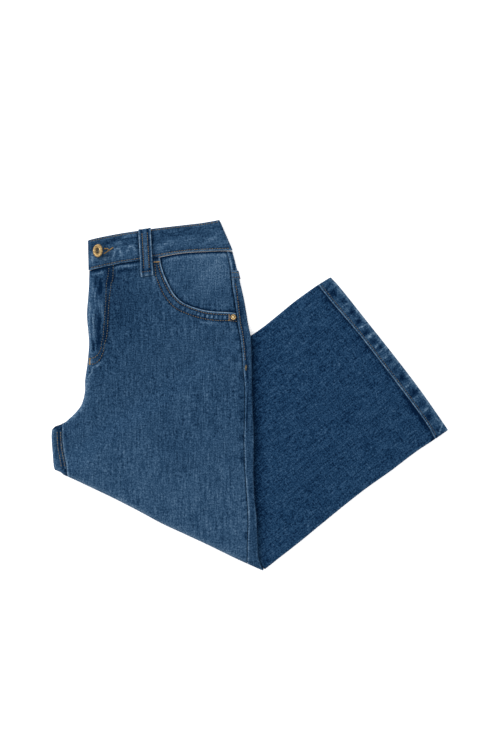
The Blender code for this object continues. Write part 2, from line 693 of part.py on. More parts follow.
class Side:
    """One side of a pile: a curve with the pile on its left, and the profile of its edge.

    `shares` are where its points lie along the curve. `insets` and `heights` hold a row for each
    ring, from the upper face down to the floor.
    """

    def __init__(self, curve, shares, profile):
        """Keeps the curve with its inward normals, and the profile's two tables."""
        self.curve = curve
        self.normals = sideways(curve)
        self.shares = np.asarray(shares, float)
        self.insets, self.heights = profile


def stacked(rows, size):
    """Rows of numbers or arrays as one table with `size` columns."""
    return np.array([np.broadcast_to(np.asarray(row, float), (size,)) for row in rows])


def under_panel(top, side, reach):
    """Rings inside a panel that turns down over the edge, from a top height to a side height."""
    insets, heights = [reach + 0.6], [top]
    for degrees in UPPER_TURNS:
        turn = math.radians(degrees)
        insets.append(reach * (1 - math.sin(turn)) + EDGE_INNER * math.sin(turn))
        heights.append(side + (top - side) * math.cos(turn))
    return insets, heights


def layered_profile(level, base, reach, drop, overhang):
    """Two flattened legs, one on the other: the rolls of cloth at their edges."""
    side = level - drop
    insets, heights = under_panel(level - INNER, side, reach)
    groove = level - 2 * drop
    low = groove - base
    insets += [EDGE_INNER, 0.15, 0.5, 1.5, 0.35, 0.1, 0.4, 1.6, overhang, overhang + 0.5]
    heights += [side - 0.65, side - 0.7, side - 0.8 * drop, groove, groove - 0.25 * low]
    heights += [groove - 0.5 * low, base + 0.2 * low, base, base, 0.0]
    return stacked(insets, len(level)), stacked(heights, len(level))


def front_profile(level, reach):
    """The centre front fold: one big roll of cloth round all the layers."""
    insets, heights = under_panel(level - INNER, level / 2, reach)
    side = level / 2 - 0.7
    insets += [EDGE_INNER, 0.15]
    heights += [side + 0.05, side]
    for degrees in LOWER_TURNS:
        turn = math.radians(degrees)
        insets.append(reach * (1 - math.cos(turn)) + 0.15)
        heights.append(side * (1 - math.sin(turn)))
    insets += [reach, reach + 1.0, reach + 3.0, reach + 5.0]
    heights += [0.0, 0.0, 0.0, 0.0]
    return stacked(insets, len(level)), stacked(heights, len(level))


def fold_profile(level, low):
    """The thigh fold: the layers inside the outer panel's wrap. `low` is the lowest level near it."""
    top = np.maximum(low - INNER, level / 2 + 0.3)
    insets, heights = under_panel(top, level / 2, FOLD_REACH)
    for degrees in (90, 98, 112, 128, 144, 160, 180):
        turn = math.radians(degrees)
        insets.append(FOLD_REACH * (1 - math.sin(turn)) + EDGE_INNER * math.sin(turn))
        heights.append(level / 2 + (level / 2 - INNER) * math.cos(turn))
    insets += [FOLD_REACH + 1.8, FOLD_REACH + 2.0, FOLD_REACH + 2.4]
    heights += [INNER, 0.0, 0.0]
    return stacked(insets, len(level)), stacked(heights, len(level))


def cut_profile(top, inset=GAP):
    """An upright end that another piece covers."""
    shares = np.append(np.linspace(1, 0, RING_COUNT - 1), 0.0)
    insets = [inset] * (RING_COUNT - 1) + [inset + 3.0]
    return stacked(insets, len(top)), shares[:, None] * top[None]


def corner(before, after, ring):
    """The point near the corner of two sides that lies at both of their insets."""
    normals = np.array([before.normals[-1], after.normals[0]])
    inset = [before.insets[ring][-1], after.insets[ring][0]]
    flat = after.curve[0] + np.linalg.solve(normals, inset)
    return np.append(flat, min(before.heights[ring][-1], after.heights[ring][0]))


def ring_points(sides, ring):
    """One ring of points round a pile, in order from the start of the first side."""
    points = []
    for index, side in enumerate(sides):
        after = sides[(index + 1) % len(sides)]
        start = corner(sides[index - 1], side, ring)
        end = corner(side, after, ring)
        moved = side.curve + side.normals * side.insets[ring][:, None]
        line = np.concatenate([moved, side.heights[ring][:, None]], axis=1)
        steps = np.linalg.norm(np.diff(side.curve, axis=0), axis=1)
        walked = np.concatenate([[0.0], np.cumsum(steps)])
        ahead = (side.curve[1] - side.curve[0]) / steps[0]
        behind = (side.curve[-1] - side.curve[-2]) / steps[-1]
        low = np.dot(start[:2] - side.curve[0], ahead)
        high = walked[-1] + np.dot(end[:2] - side.curve[-1], behind)
        wanted = low + (high - low) * side.shares
        row = np.stack([np.interp(wanted, walked, line[:, axis]) for axis in range(3)], axis=1)
        row[0] = start
        points.append(row[:-1])
    return np.vstack(points)


def fill_ring(ring, sides):
    """A grid of flat points that fills a ring of four sides, blended from them."""
    rows, columns = len(sides[0].shares) - 1, len(sides[1].shares) - 1
    closed = np.vstack([ring, ring[:1]])[:, :2]
    left = closed[: rows + 1]
    foot = closed[rows : rows + columns + 1]
    right = closed[rows + columns : 2 * rows + columns + 1][::-1]
    top = closed[2 * rows + columns :][::-1]
    v_left, v_right = sides[0].shares, 1 - sides[2].shares[::-1]
    u_foot, u_top = sides[1].shares, 1 - sides[3].shares[::-1]
    mix = np.linspace(0, 1, columns + 1)[None, :]
    v = ((1 - mix) * v_left[:, None] + mix * v_right[:, None])[..., None]
    mix = np.linspace(0, 1, rows + 1)[:, None]
    u = ((1 - mix) * u_top[None] + mix * u_foot[None])[..., None]
    across = (1 - u) * left[:, None] + u * right[:, None]
    corners = (1 - v) * ((1 - u) * top[0] + u * top[-1]) + v * ((1 - u) * foot[0] + u * foot[-1])
    return (1 - v) * top[None] + v * foot[None] + across - corners


def pile_mesh(name, sides, top_height):
    """A closed solid: a filled upper face, rings down its sides, and a flat underside."""
    rows, columns = len(sides[0].shares) - 1, len(sides[1].shares) - 1
    around = 2 * (rows + columns)
    face = (rows + 1) * (columns + 1)
    index = np.arange(face).reshape(rows + 1, columns + 1)
    border = np.concatenate([index[:-1, 0], index[-1, :-1], index[:0:-1, -1], index[0, :0:-1]])
    rings = [ring_points(sides, ring) for ring in range(RING_COUNT)]
    upper = fill_ring(rings[0], sides).reshape(-1, 2)
    lower = fill_ring(rings[-1], sides).reshape(-1, 2)
    middle = np.vstack(rings[1:-1])
    heights = top_height(upper)
    heights[border] = rings[0][:, 2]
    points = np.vstack([
        np.column_stack([upper, heights]),
        np.column_stack([lower, np.zeros(len(lower))]),
        middle,
    ])
    first = 2 * face
    loops = [border]
    loops += [first + around * ring + np.arange(around) for ring in range(RING_COUNT - 2)]
    loops.append(face + border)
    faces = grid_faces(rows + 1, columns + 1).reshape(-1, 4)
    parts = [faces[:, ::-1], face + faces]
    for above, below in zip(loops[:-1], loops[1:]):
        parts.append(np.stack([above, below, np.roll(below, -1), np.roll(above, -1)], axis=1))
    mesh = bpy.data.meshes.new(name)
    mesh.from_pydata((points * MM).tolist(), [], np.vstack(parts).tolist())
    mesh.update()
    return mesh


def inner_face(points):
    """The hidden layers' upper face, under the panels and deeper under the hips' pocket."""
    deeper = (POCKET_DEPTH - INNER) * ease(points[:, 1], HIP_FOOT - 8, HIP_FOOT)
    return lowest_near(points, body_level, 13.0) - INNER - deeper


def leg_inner_face(points):
    """The hidden lower legs' upper face, under their panel."""
    return lowest_near(points, leg_level, 8.0) - INNER


def make_hidden_layers(collection):
    """All the layers that the fold hides, as one solid that shows its rolls at the edges."""
    level = lowest_near(LEFT_SIDE, body_level, 6.0)
    share = crotch_share(LEFT_SIDE)
    reach = (1 - share) * FRONT_REACH + share * SIDE_REACH
    front = front_profile(level, reach)
    crotch = layered_profile(level, 0.0, reach, SIDE_TURN, 3.0)
    left = [(1 - share) * one + share * other for one, other in zip(front, crotch)]
    up_page = RIGHT_SIDE[:, 1]
    raised = ease(-up_page, -89.0, -79.0) * ease(up_page, -212.0, -200.0)
    base = (LEGS_HEIGHT + GAP) * raised
    overhang = 3.0 + (SHELF - 3.0) * ease(-up_page, -89.0, -79.0) * ease(up_page, -206.0, -192.0)
    level = lowest_near(RIGHT_SIDE, body_level, 2.0)
    right = layered_profile(level, base, SIDE_REACH, SIDE_TURN, overhang)
    waist = smooth(WAIST_SEAM)[::-1]
    fold = fold_profile(body_level(FOLD), lowest_near(FOLD, body_level, 12.0))
    side_shares = [share_at_height(RIGHT_SIDE, y) for y in SIDE_ROWS]
    fold_shares = np.concatenate([(0, 0.015, 0.03, 0.045, 0.06), np.linspace(0.085, 1, 12)])
    left_shares = np.concatenate([np.linspace(0, 0.64, 13)[:-1], np.linspace(0.64, 1, 15)])
    body = pile_mesh("hidden_body", (
        Side(LEFT_SIDE, left_shares, left),
        Side(FOLD, fold_shares, fold),
        Side(RIGHT_SIDE, [0.0] + side_shares + [1.0], right),
        Side(waist, np.linspace(0, 1, len(fold_shares)), cut_profile(inner_face(waist) - 0.2)),
    ), inner_face)

    hem = smooth(HEM_SEAM)[::-1]
    inseam = np.vstack([[LEG_PILE_INSEAM], INSEAM_SIDE])[::-1]
    edge = RIGHT_SIDE[::-1] - [2 * SHELF, 0]
    edge = edge[(edge[:, 1] < 40.0) & (edge[:, 1] > -176.0)]
    under = np.vstack([[LEG_PILE_INSEAM], edge, LEG_PILE_TIP])
    outseam = np.vstack([LEG_PILE_TIP[-1:], OUTSEAM_SIDE[4:]])
    legs = pile_mesh("hidden_legs", (
        Side(under, np.linspace(0, 1, 13), cut_profile(leg_inner_face(under) - 0.2)),
        Side(outseam, np.linspace(0, 1, 13), leg_profile(outseam)),
        Side(hem, np.linspace(0, 1, 13), cut_profile(leg_inner_face(hem) - 0.2)),
        Side(inseam, np.linspace(0, 1, 13), leg_profile(inseam)),
    ), leg_inner_face)

    hidden = add_object("hidden_layers", body, DENIM_DARK, collection)
    cutters = bpy.data.collections.new("joined_pieces")
    bpy.context.scene.collection.children.link(cutters)
    other = add_object("hidden_legs_piece", legs, DENIM_DARK, cutters)
    other.hide_render = True
    other.display_type = "WIRE"
    union = hidden.modifiers.new("legs", "BOOLEAN")
    union.operation = "UNION"
    union.solver = "EXACT"
    union.object = other


def leg_profile(curve):
    """The edge of the lower legs: two flattened legs, one on the other."""
    level = lowest_near(curve, leg_level, 2.0)
    return layered_profile(level, 0.0, SIDE_REACH, level / 4, 3.0)


# ---------------------------------------------------------------- trims


def make_belt_loop(collection):
    """A belt loop: it turns in over the waistband's top edge and is sewn down below it."""
    start = np.array(LOOP_TOP)
    run = np.array(LOOP_FOOT) - start
    run /= np.linalg.norm(run)
    over = np.array([-run[1], run[0]])
    path = smooth(LOOP_PATH, 2.0)
    path = along(path, np.linspace(0, 1, 24))
    grid = []
    for share in (-1.0, -0.9, -0.4, 0.4, 0.9, 1.0):
        dip = 0.5 * max(0.0, abs(share) - 0.8) / 0.2
        flat = start + run * (path[:, :1] - LOOP_SLANT * share) + over * share * LOOP_WIDTH / 2
        grid.append(np.concatenate([flat, path[:, 1:] - dip], axis=1))
    sheet("belt_loop", np.array(grid), DENIM_LIGHT, collection, LOOP_THICKNESS)


def turned(name, rows, centre, tilt, finish, collection, steps=24):
    """A turned piece from rows of radius and height, tilted about the page's upright line."""
    mesh = bpy.data.meshes.new(name)
    points = [(row.radius * MM, 0.0, row.height * MM) for row in rows]
    mesh.from_pydata(points, [(i, i + 1) for i in range(len(points) - 1)], [])
    made = add_object(name, mesh, finish, collection)
    made.location = [value * MM for value in centre]
    made.rotation_euler = (0.0, tilt, 0.0)
    screw = made.modifiers.new("turn", "SCREW")
    screw.steps = steps
    screw.render_steps = steps
    screw.use_merge_vertices = True
    screw.merge_threshold = 0.00001
    return made


def make_button(collection):
    """A plain shank button with a dished middle, leaning towards the fold."""
    x, y, z = BUTTON_CENTRE
    turned("button", BUTTON_ROWS, (x, y, z), -BUTTON_TILT, BRASS, collection)


def make_rivet(collection):
    """A plain domed rivet at the lower end of the pocket opening."""
    turned("rivet", RIVET_ROWS, RIVET_CENTRE, RIVET_TILT, BRASS, collection, 16)


def main():
    """Builds every piece in a collection of its own."""
    for old in list(bpy.data.objects):
        bpy.data.objects.remove(old)
    collection = bpy.data.collections.new(NAME)
    bpy.context.scene.collection.children.link(collection)
    make_front_left(collection)
    make_pocket_facing(collection)
    make_back_left(collection)
    make_crotch(collection)
    make_front_right(collection)
    make_waistband(collection)
    make_hems(collection)
    make_hidden_layers(collection)
    make_belt_loop(collection)
    make_button(collection)
    make_rivet(collection)


main()
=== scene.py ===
"""The looks of the flared jeans, folded in half and again across the thighs, lying on a pale floor.

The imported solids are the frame. Each cloth piece is worked out again here on a finer grid, on its
solid's own form, with the creases, puckers and worn edges that the solids leave out, and with the
sewing on it. Sizes in tables and fields are millimetres, seen from above with the waist at +Y, the
centre front fold at -X and the hems at +X. Meshes are in metres.
"""

import logging
import math
from collections.abc import Callable, Sequence
from dataclasses import dataclass, field
from enum import Enum

import bpy
import numpy as np
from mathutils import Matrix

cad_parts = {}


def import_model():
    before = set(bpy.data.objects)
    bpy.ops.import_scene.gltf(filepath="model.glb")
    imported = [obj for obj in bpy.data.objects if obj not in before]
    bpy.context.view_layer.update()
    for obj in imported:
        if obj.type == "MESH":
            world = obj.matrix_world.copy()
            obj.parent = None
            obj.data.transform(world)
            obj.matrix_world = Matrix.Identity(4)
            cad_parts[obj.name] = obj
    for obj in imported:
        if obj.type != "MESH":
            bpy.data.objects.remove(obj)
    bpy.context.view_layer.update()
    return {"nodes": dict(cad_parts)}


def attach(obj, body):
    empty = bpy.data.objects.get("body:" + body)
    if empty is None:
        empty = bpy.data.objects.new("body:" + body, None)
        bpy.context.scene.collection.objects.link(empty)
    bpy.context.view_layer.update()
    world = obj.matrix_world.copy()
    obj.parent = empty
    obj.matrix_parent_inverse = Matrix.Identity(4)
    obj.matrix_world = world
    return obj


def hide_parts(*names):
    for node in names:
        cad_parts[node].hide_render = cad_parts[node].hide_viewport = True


LOG = logging.getLogger("flared_jeans")
MM = 0.001

Array = np.ndarray
Height = Callable[[Array], Array]
Points = Sequence[tuple[float, float]]

# ------------------------------------------------------------------ outlines, in millimetres

CENTRE_FRONT: Points = (
    (-208.4, 162.0), (-209.2, 137.2), (-211.5, 106.0), (-209.7, 82.6), (-208.8, 67.0),
    (-210.6, 43.6), (-213.9, 20.2), (-214.2, 4.6), (-218.3, -11.1), (-226.0, -22.0), (-237.9, -33.4),
)
CROTCH: Points = (
    (-237.9, -33.4), (-246.7, -38.0), (-252.6, -39.9), (-256.9, -45.5), (-257.2, -58.0),
    (-255.9, -75.3), (-254.5, -91.0), (-252.6, -97.0),
)
THIGH_FOLD: Points = (
    (-252.6, -97.0), (-245.8, -99.4), (-240.6, -103.4), (-229.8, -108.0), (-207.4, -118.5),
    (-176.2, -133.4), (-145.0, -149.4), (-113.8, -166.1), (-82.6, -180.6), (-51.4, -195.1),
    (-20.2, -210.4), (8.5, -223.5), (17.4, -227.4),
)
BODY_SIDE: Points = (
    (17.4, -227.4), (14.6, -219.5), (11.4, -208.8), (10.5, -192.8), (9.1, -157.3), (5.9, -124.2),
    (5.2, -91.0), (5.9, -57.9), (4.6, -27.0), (3.3, 5.9), (3.0, 39.0), (1.8, 74.8), (-1.2, 90.4),
    (-6.5, 121.7), (-11.2, 143.1), (-15.2, 160.0), (-19.0, 175.0), (-22.4, 188.0),
)
WAIST_SEAM: Points = (
    (-208.4, 162.0), (-198.6, 164.4), (-167.8, 171.2), (-146.0, 174.5), (-124.3, 178.6), (-87.1, 185.2),
    (-46.4, 187.5), (-22.4, 188.0),
)
BAND_TOP: Points = (
    (-210.2, 201.5), (-194.3, 205.3), (-165.8, 210.7), (-124.1, 216.7), (-82.5, 221.6), (-60.0, 224.3),
    (-38.9, 228.1),
)
BAND_FOOT: Points = (
    (-209.3, 162.2), (-198.6, 164.9), (-167.8, 171.7), (-146.0, 175.0), (-124.3, 179.1), (-87.1, 185.7),
    (-46.4, 188.0), (-21.8, 188.6),
)
POCKET_OPENING: Points = (
    (-116.4, 179.6), (-114.5, 168.5), (-111.3, 158.2), (-105.7, 145.6), (-97.9, 131.4),
    (-88.4, 121.9), (-78.1, 116.5), (-66.3, 112.6), (-54.5, 109.9), (-38.7, 108.6), (-24.6, 108.0),
    (-17.2, 106.6),
)
SIDE_SEAM_HIP: Points = (
    (-29.9, 187.7), (-26.3, 173.7), (-24.3, 160.0), (-22.5, 141.4), (-19.8, 124.0), (-17.2, 106.6),
)
SIDE_SEAM_THIGH: Points = (
    (-17.2, 106.6), (-15.4, 91.2), (-12.4, 74.6), (-10.0, 55.5), (-8.4, 32.4), (-6.5, 9.8),
    (-6.5, -13.7), (-7.3, -57.9), (-6.6, -91.0), (-4.4, -124.2), (-2.2, -157.3), (-2.8, -185.0),
    (-3.4, -218.3),
)
FRONT_INSEAM: Points = (
    (-243.4, -38.3), (-243.0, -58.6), (-241.2, -73.6), (-237.6, -90.0), (-235.6, -105.6),
)
CROTCH_STRIP_TOP: Points = ((-256.2, -44.4), (-243.4, -40.6))
LEG_INSEAM: Points = (
    (-9.6, 70.0), (1.3, 77.4), (19.6, 90.4), (38.5, 105.7), (57.4, 121.2), (78.5, 136.6), (88.8, 143.7),
)
LEG_OUTSEAM: Points = (
    (20.2, -225.6), (29.7, -218.2), (38.8, -210.9), (64.1, -191.2), (92.8, -167.7), (121.2, -144.4),
    (151.3, -120.9), (184.1, -97.6), (215.0, -74.1), (240.8, -56.8),
)
HEM_SEAM: Points = (
    (88.8, 143.7), (104.9, 122.9), (144.1, 76.4), (191.7, 14.7), (226.5, -32.3), (240.8, -56.8),
)
HEM_EDGE: Points = (
    (105.2, 153.8), (120.0, 137.2), (150.9, 98.2), (188.0, 51.4), (223.5, 4.6), (257.9, -44.9),
)
# Pleats of the hems: the run along the hem at its sewn and at its outer edge, the middle and the
# reach as shares across it, the half width, and how pale it is worn (or, below nought, how dark
# its hollow is painted with shade)
HEM_PLEATS: tuple[tuple[float, float, float, float, float, float], ...] = (
    (9.6, 11.2, 0.6, 0.2, 1.2, 0.1), (20.0, 20.0, 0.42, 0.2, 5.0, -0.3),
    (22.6, 21.2, 0.78, 0.16, 1.3, 0.12), (37.0, 36.0, 0.66, 0.14, 2.6, -0.2),
    (40.6, 41.6, 0.5, 0.28, 0.9, 0.27), (47.0, 47.5, 0.42, 0.2, 2.6, 0.08),
    (54.6, 55.2, 0.62, 0.18, 4.0, -0.32), (58.6, 58.0, 0.4, 0.18, 1.3, 0.15),
    (68.6, 69.2, 0.54, 0.17, 3.2, -0.28), (76.0, 77.6, 0.5, 0.3, 0.9, 0.32),
    (85.4, 86.2, 0.42, 0.18, 3.4, -0.28), (91.6, 93.0, 0.5, 0.3, 2.0, 0.24),
    (102.6, 102.0, 0.52, 0.16, 3.2, -0.28), (110.4, 106.4, 0.44, 0.24, 0.9, 0.2),
    (113.8, 112.0, 0.66, 0.16, 2.2, -0.28), (118.8, 114.4, 0.5, 0.28, 1.0, 0.25),
    (128.6, 124.8, 0.52, 0.2, 1.4, 0.15), (135.4, 134.6, 0.56, 0.16, 3.0, -0.24),
    (143.2, 140.4, 0.66, 0.18, 1.8, 0.15), (151.0, 150.0, 0.5, 0.16, 2.4, -0.1),
    (162.4, 161.6, 0.52, 0.2, 4.8, -0.36), (174.4, 172.0, 0.44, 0.28, 1.5, 0.2),
    (184.6, 184.0, 0.56, 0.2, 5.2, -0.35), (193.0, 189.6, 0.42, 0.24, 1.4, 0.18),
    (205.8, 205.2, 0.52, 0.16, 3.4, -0.22), (213.4, 211.6, 0.52, 0.3, 1.5, 0.22),
    (222.0, 221.4, 0.42, 0.18, 4.6, -0.26), (233.8, 229.8, 0.66, 0.24, 2.4, 0.2),
    (243.2, 242.6, 0.46, 0.18, 3.0, -0.3), (252.6, 239.0, 0.62, 0.3, 0.9, 0.4),
)
LEG_PILE_INSEAM = (-31.0, 50.0)
LEG_PILE_TIP: Points = ((-20.0, -184.0), (2.0, -194.0), (16.0, -202.0), (21.8, -222.6))
LEG_START_TIP: Points = ((8.6, -199.5), (9.6, -206.0), (11.8, -214.0), (15.6, -222.0))
LEG_LINE: Points = ((-249.0, -103.0), (1.3, 77.4))

# Sewing, as the thread runs
FLY_ROWS: tuple[Points, Points] = (
    (
        (-182.5, 166.4), (-183.6, 155.0), (-185.6, 146.2), (-186.3, 132.0), (-186.3, 125.3),
        (-187.5, 109.6), (-188.6, 93.9), (-190.2, 75.7), (-191.8, 70.2), (-192.5, 62.3),
        (-195.4, 55.2), (-200.8, 49.7), (-207.2, 48.1),
    ),
    (
        (-176.7, 170.6), (-177.6, 152.0), (-179.5, 146.2), (-180.4, 137.2), (-182.0, 125.3),
        (-183.2, 109.6), (-184.0, 93.9), (-185.1, 78.9), (-188.2, 66.3), (-189.8, 56.0),
        (-194.6, 46.5), (-200.8, 41.5), (-207.6, 40.3),
    ),
)
POCKET_ROWS: tuple[Points, Points] = (
    (
        (-118.6, 172.0), (-117.9, 166.9), (-114.4, 155.9), (-110.5, 146.4), (-104.1, 134.6),
        (-96.3, 125.2), (-90.0, 119.6), (-78.1, 114.1), (-62.4, 108.6), (-50.6, 106.2),
        (-28.5, 105.0),
    ),
    (
        (-123.0, 171.0), (-122.2, 163.2), (-121.4, 155.1), (-119.1, 148.7), (-113.6, 135.3),
        (-107.2, 125.2), (-98.7, 115.7), (-90.0, 110.2), (-74.2, 103.9), (-58.5, 99.6),
        (-42.8, 97.6), (-26.9, 97.2), (-16.6, 96.3),
    ),
)
SIDE_TOPSTITCH: Points = (
    (-18.4, 146.0), (-16.1, 132.7), (-14.0, 114.1), (-11.4, 92.2), (-8.4, 77.6), (-5.4, 45.6),
)


# ------------------------------------------------------------------ curves


def smooth(rows: Points, step: float = 2.0) -> Array:
    """A dense curve through the rows: a cubic between each two that heads the way their neighbours do.

    Args:
        rows: the points that the curve passes through.
        step: about how far apart its own points are.

    Returns:
        The curve's points, one row each.
    """
    knots = np.array(rows, float)
    ends = np.vstack([2 * knots[0] - knots[1], knots, 2 * knots[-1] - knots[-2]])
    parts = []
    for before, start, end, after in zip(ends[:-3], ends[1:-2], ends[2:-1], ends[3:]):
        count = max(2, int(np.linalg.norm(end - start) / step))
        t = np.linspace(0, 1, count, endpoint=False)[:, None]
        bend = 2 * before - 5 * start + 4 * end - after
        twist = 3 * start - before - 3 * end + after
        parts.append(start + 0.5 * ((end - before) * t + bend * t**2 + twist * t**3))
    parts.append(knots[-1:])
    return np.vstack(parts)


def walked_along(curve: Array) -> Array:
    """How far along the curve each of its points is."""
    steps = np.linalg.norm(np.diff(curve, axis=0), axis=1)
    return np.concatenate([[0.0], np.cumsum(steps)])


def length_of(curve: Array) -> float:
    """The curve's length."""
    return float(walked_along(curve)[-1])


def columns_at(wanted: Array, walked: Array, rows: Array) -> Array:
    """Rows of values that are known at some lengths, read off at others."""
    return np.stack([np.interp(wanted, walked, column) for column in rows.T], axis=1)


def along(curve: Array, shares: Sequence[float] | Array) -> Array:
    """The points at those shares of a curve's length."""
    walked = walked_along(curve)
    return columns_at(np.asarray(shares) * walked[-1], walked, curve)


def unit(vectors: Array) -> Array:
    """Vectors made one long."""
    return vectors / np.linalg.norm(vectors, axis=-1, keepdims=True)


def extend(curve: Array, shares: Array) -> Array:
    """Points along a curve, carried straight on past its ends.

    Args:
        curve: the curve's points.
        shares: shares of its length, which may lie outside 0 to 1.

    Returns:
        One point for each share.
    """
    inside = along(curve, np.clip(shares, 0, 1))
    before, after = unit(curve[0] - curve[1]), unit(curve[-1] - curve[-2])
    past = before * np.clip(-shares, 0, None)[:, None] + after * np.clip(shares - 1, 0, None)[:, None]
    return inside + past * length_of(curve)


def sideways(curve: Array) -> Array:
    """Unit vectors to the left of the walk along a curve."""
    ahead = unit(np.gradient(curve, axis=0))
    return np.stack([-ahead[:, 1], ahead[:, 0]], axis=1)


@dataclass(frozen=True)
class Near:
    """Where points lie beside a curve, seen from above.

    Attributes:
        gap: each point's distance from the curve.
        place: how far along the curve its nearest point is.
        side: 1 to the left of the walk, -1 to the right.
    """

    gap: Array
    place: Array
    side: Array

    @property
    def signed(self) -> Array:
        """The distance, positive to the left of the walk."""
        return self.gap * self.side

    def band(self, strength: float, middle: float, width: float) -> Array:
        """A soft band along the curve: strength x a bell curve of the distance, `middle` from it."""
        return strength * bell(self.gap - middle, width)

    def uneven(self, mean: float, swing: float, pitch: float, seed: int) -> Array:
        """A factor that wavers along the curve."""
        return uneven(self.place, mean, swing, pitch, seed)


def near(points: Array, curve: Array) -> Near:
    """Finds where points lie beside a curve: each is dropped square onto its nearest stretch.

    Args:
        points: flat points, one row each.
        curve: the curve's points.

    Returns:
        Distances, places along the curve and sides.
    """
    start, run = curve[:-1], np.diff(curve, axis=0)
    size, walked = np.linalg.norm(run, axis=1), walked_along(curve)
    gaps, places, sides = [], [], []
    # In blocks, so that the tables of points by stretches stay small
    for block in np.array_split(points, max(1, len(points) // 3000)):
        off = block[:, None] - start[None]
        share = np.clip((off * run).sum(2) / size**2, 0, 1)
        distance = np.linalg.norm(off - share[..., None] * run, axis=2)
        best = distance.argmin(axis=1)
        row = np.arange(len(block))
        cross = run[best, 0] * off[row, best, 1] - run[best, 1] * off[row, best, 0]
        gaps.append(distance[row, best])
        places.append(walked[best] + share[row, best] * size[best])
        sides.append(np.where(cross >= 0, 1.0, -1.0))
    return Near(np.concatenate(gaps), np.concatenate(places), np.concatenate(sides))


def gap_to(points: Array, curve: Array) -> Array:
    """How far each point is from a curve, seen from above."""
    return near(points, curve).gap


def share_at(curve: Array, point: Array) -> float:
    """The share of a curve's length at which it passes nearest to a point."""
    return float(near(np.atleast_2d(point), curve).place[0]) / length_of(curve)


def ease(value: Array, low: float, high: float) -> Array:
    """A smooth step from 0 at low to 1 at high."""
    t = np.clip((value - low) / (high - low), 0, 1)
    return t * t * (3 - 2 * t)


def bell(value: Array, width: float) -> Array:
    """A bell curve: 1 at 0, and about a third at `width`."""
    return np.exp(-((value / width) ** 2))


def waver(place: Array, pitch: float, seed: int) -> Array:
    """Smooth uneven values from -1 to 1 along a length: seeded levels every `pitch`, eased between.

    Args:
        place: how far along each value is wanted.
        pitch: the distance between levels.
        seed: which set of levels.

    Returns:
        A value for each place.
    """
    levels = np.random.default_rng(seed).uniform(-1, 1, 2048)
    at = np.asarray(place, float) / pitch + 900
    low = np.floor(at).astype(int)
    t = ease(at - low, 0, 1)
    return (1 - t) * levels[low % 2048] + t * levels[(low + 1) % 2048]


def uneven(place: Array, mean: float, swing: float, pitch: float, seed: int) -> Array:
    """A factor that wavers along a length, by `swing` either side of its mean."""
    return mean + swing * waver(place, pitch, seed)


def cloudy(points: Array, across: float, lengthwise: float, turn: float, seed: int) -> Array:
    """Smooth uneven values from -1 to 1 over a surface: seeded levels on a turned lattice, eased between.

    Args:
        points: flat points.
        across: the lattice's pitch across its long direction.
        lengthwise: its pitch along it.
        turn: the long direction, in degrees from +Y towards -X.
        seed: which set of levels.

    Returns:
        A value for each point.
    """
    levels = np.random.default_rng(seed).uniform(-1, 1, (128, 128))
    angle = math.radians(turn)
    u = (points[:, 0] * math.cos(angle) + points[:, 1] * math.sin(angle)) / across + 500
    v = (points[:, 1] * math.cos(angle) - points[:, 0] * math.sin(angle)) / lengthwise + 500
    i, j = np.floor(u).astype(int), np.floor(v).astype(int)
    s, t = ease(u - i, 0, 1), ease(v - j, 0, 1)
    i, j, i1, j1 = i % 128, j % 128, (i + 1) % 128, (j + 1) % 128
    low = (1 - s) * levels[i, j] + s * levels[i1, j]
    return (1 - t) * low + t * ((1 - s) * levels[i, j1] + s * levels[i1, j1])


# ------------------------------------------------------------------ creases


@dataclass(frozen=True)
class Crease:
    """A soft trough or ridge along a line: a bell curve across it that fades at both ends.

    Attributes:
        line: the points that it runs through.
        width: its half width.
        height: its height, or its depth where it is negative.
    """

    line: Points
    width: float
    height: float

    def relief(self, points: Array) -> Array:
        """Its form: height x a bell curve across x the root of a half sine along x an uneven factor.

        Args:
            points: flat points, of which those far from the line stay at nought.

        Returns:
            A height for each point.
        """
        curve = smooth(self.line)
        reach = 3.2 * self.width
        close = np.all((points > curve.min(axis=0) - reach) & (points < curve.max(axis=0) + reach), axis=1)
        total = np.zeros(len(points))
        if close.any():
            beside = near(points[close], curve)
            fade = np.sqrt(np.clip(np.sin(math.pi * (beside.place / length_of(curve))), 0, 1))
            seed = int(abs(self.line[0][0] * 7 + self.line[0][1]))
            factor = fade * uneven(beside.place, 1.0, 0.25, 14.0, seed)
            total[close] = self.height * bell(beside.gap, self.width) * factor
        return total


@dataclass(frozen=True)
class Swell:
    """A broad soft rise or hollow: two bell curves across the axes of an ellipse.

    Attributes:
        x, y: its middle.
        turn: its long axis, in degrees from +X towards +Y.
        length, width: its half axes.
        height: its height, or its depth where it is negative.
    """

    x: float
    y: float
    turn: float
    length: float
    width: float
    height: float

    def relief(self, points: Array) -> Array:
        """Its height over flat points: height x a bell curve along x a bell curve across.

        Args:
            points: flat points, one row each.

        Returns:
            A height for each point.
        """
        angle = math.radians(self.turn)
        off = points - np.array([self.x, self.y])
        lengthwise = off[:, 0] * math.cos(angle) + off[:, 1] * math.sin(angle)
        across = off[:, 1] * math.cos(angle) - off[:, 0] * math.sin(angle)
        return self.height * bell(lengthwise, self.length) * bell(across, self.width)


def relief_of(forms: Sequence[Crease | Swell], points: Array) -> Array:
    """The heights of creases or swells added up."""
    return sum((form.relief(points) for form in forms), np.zeros(len(points)))


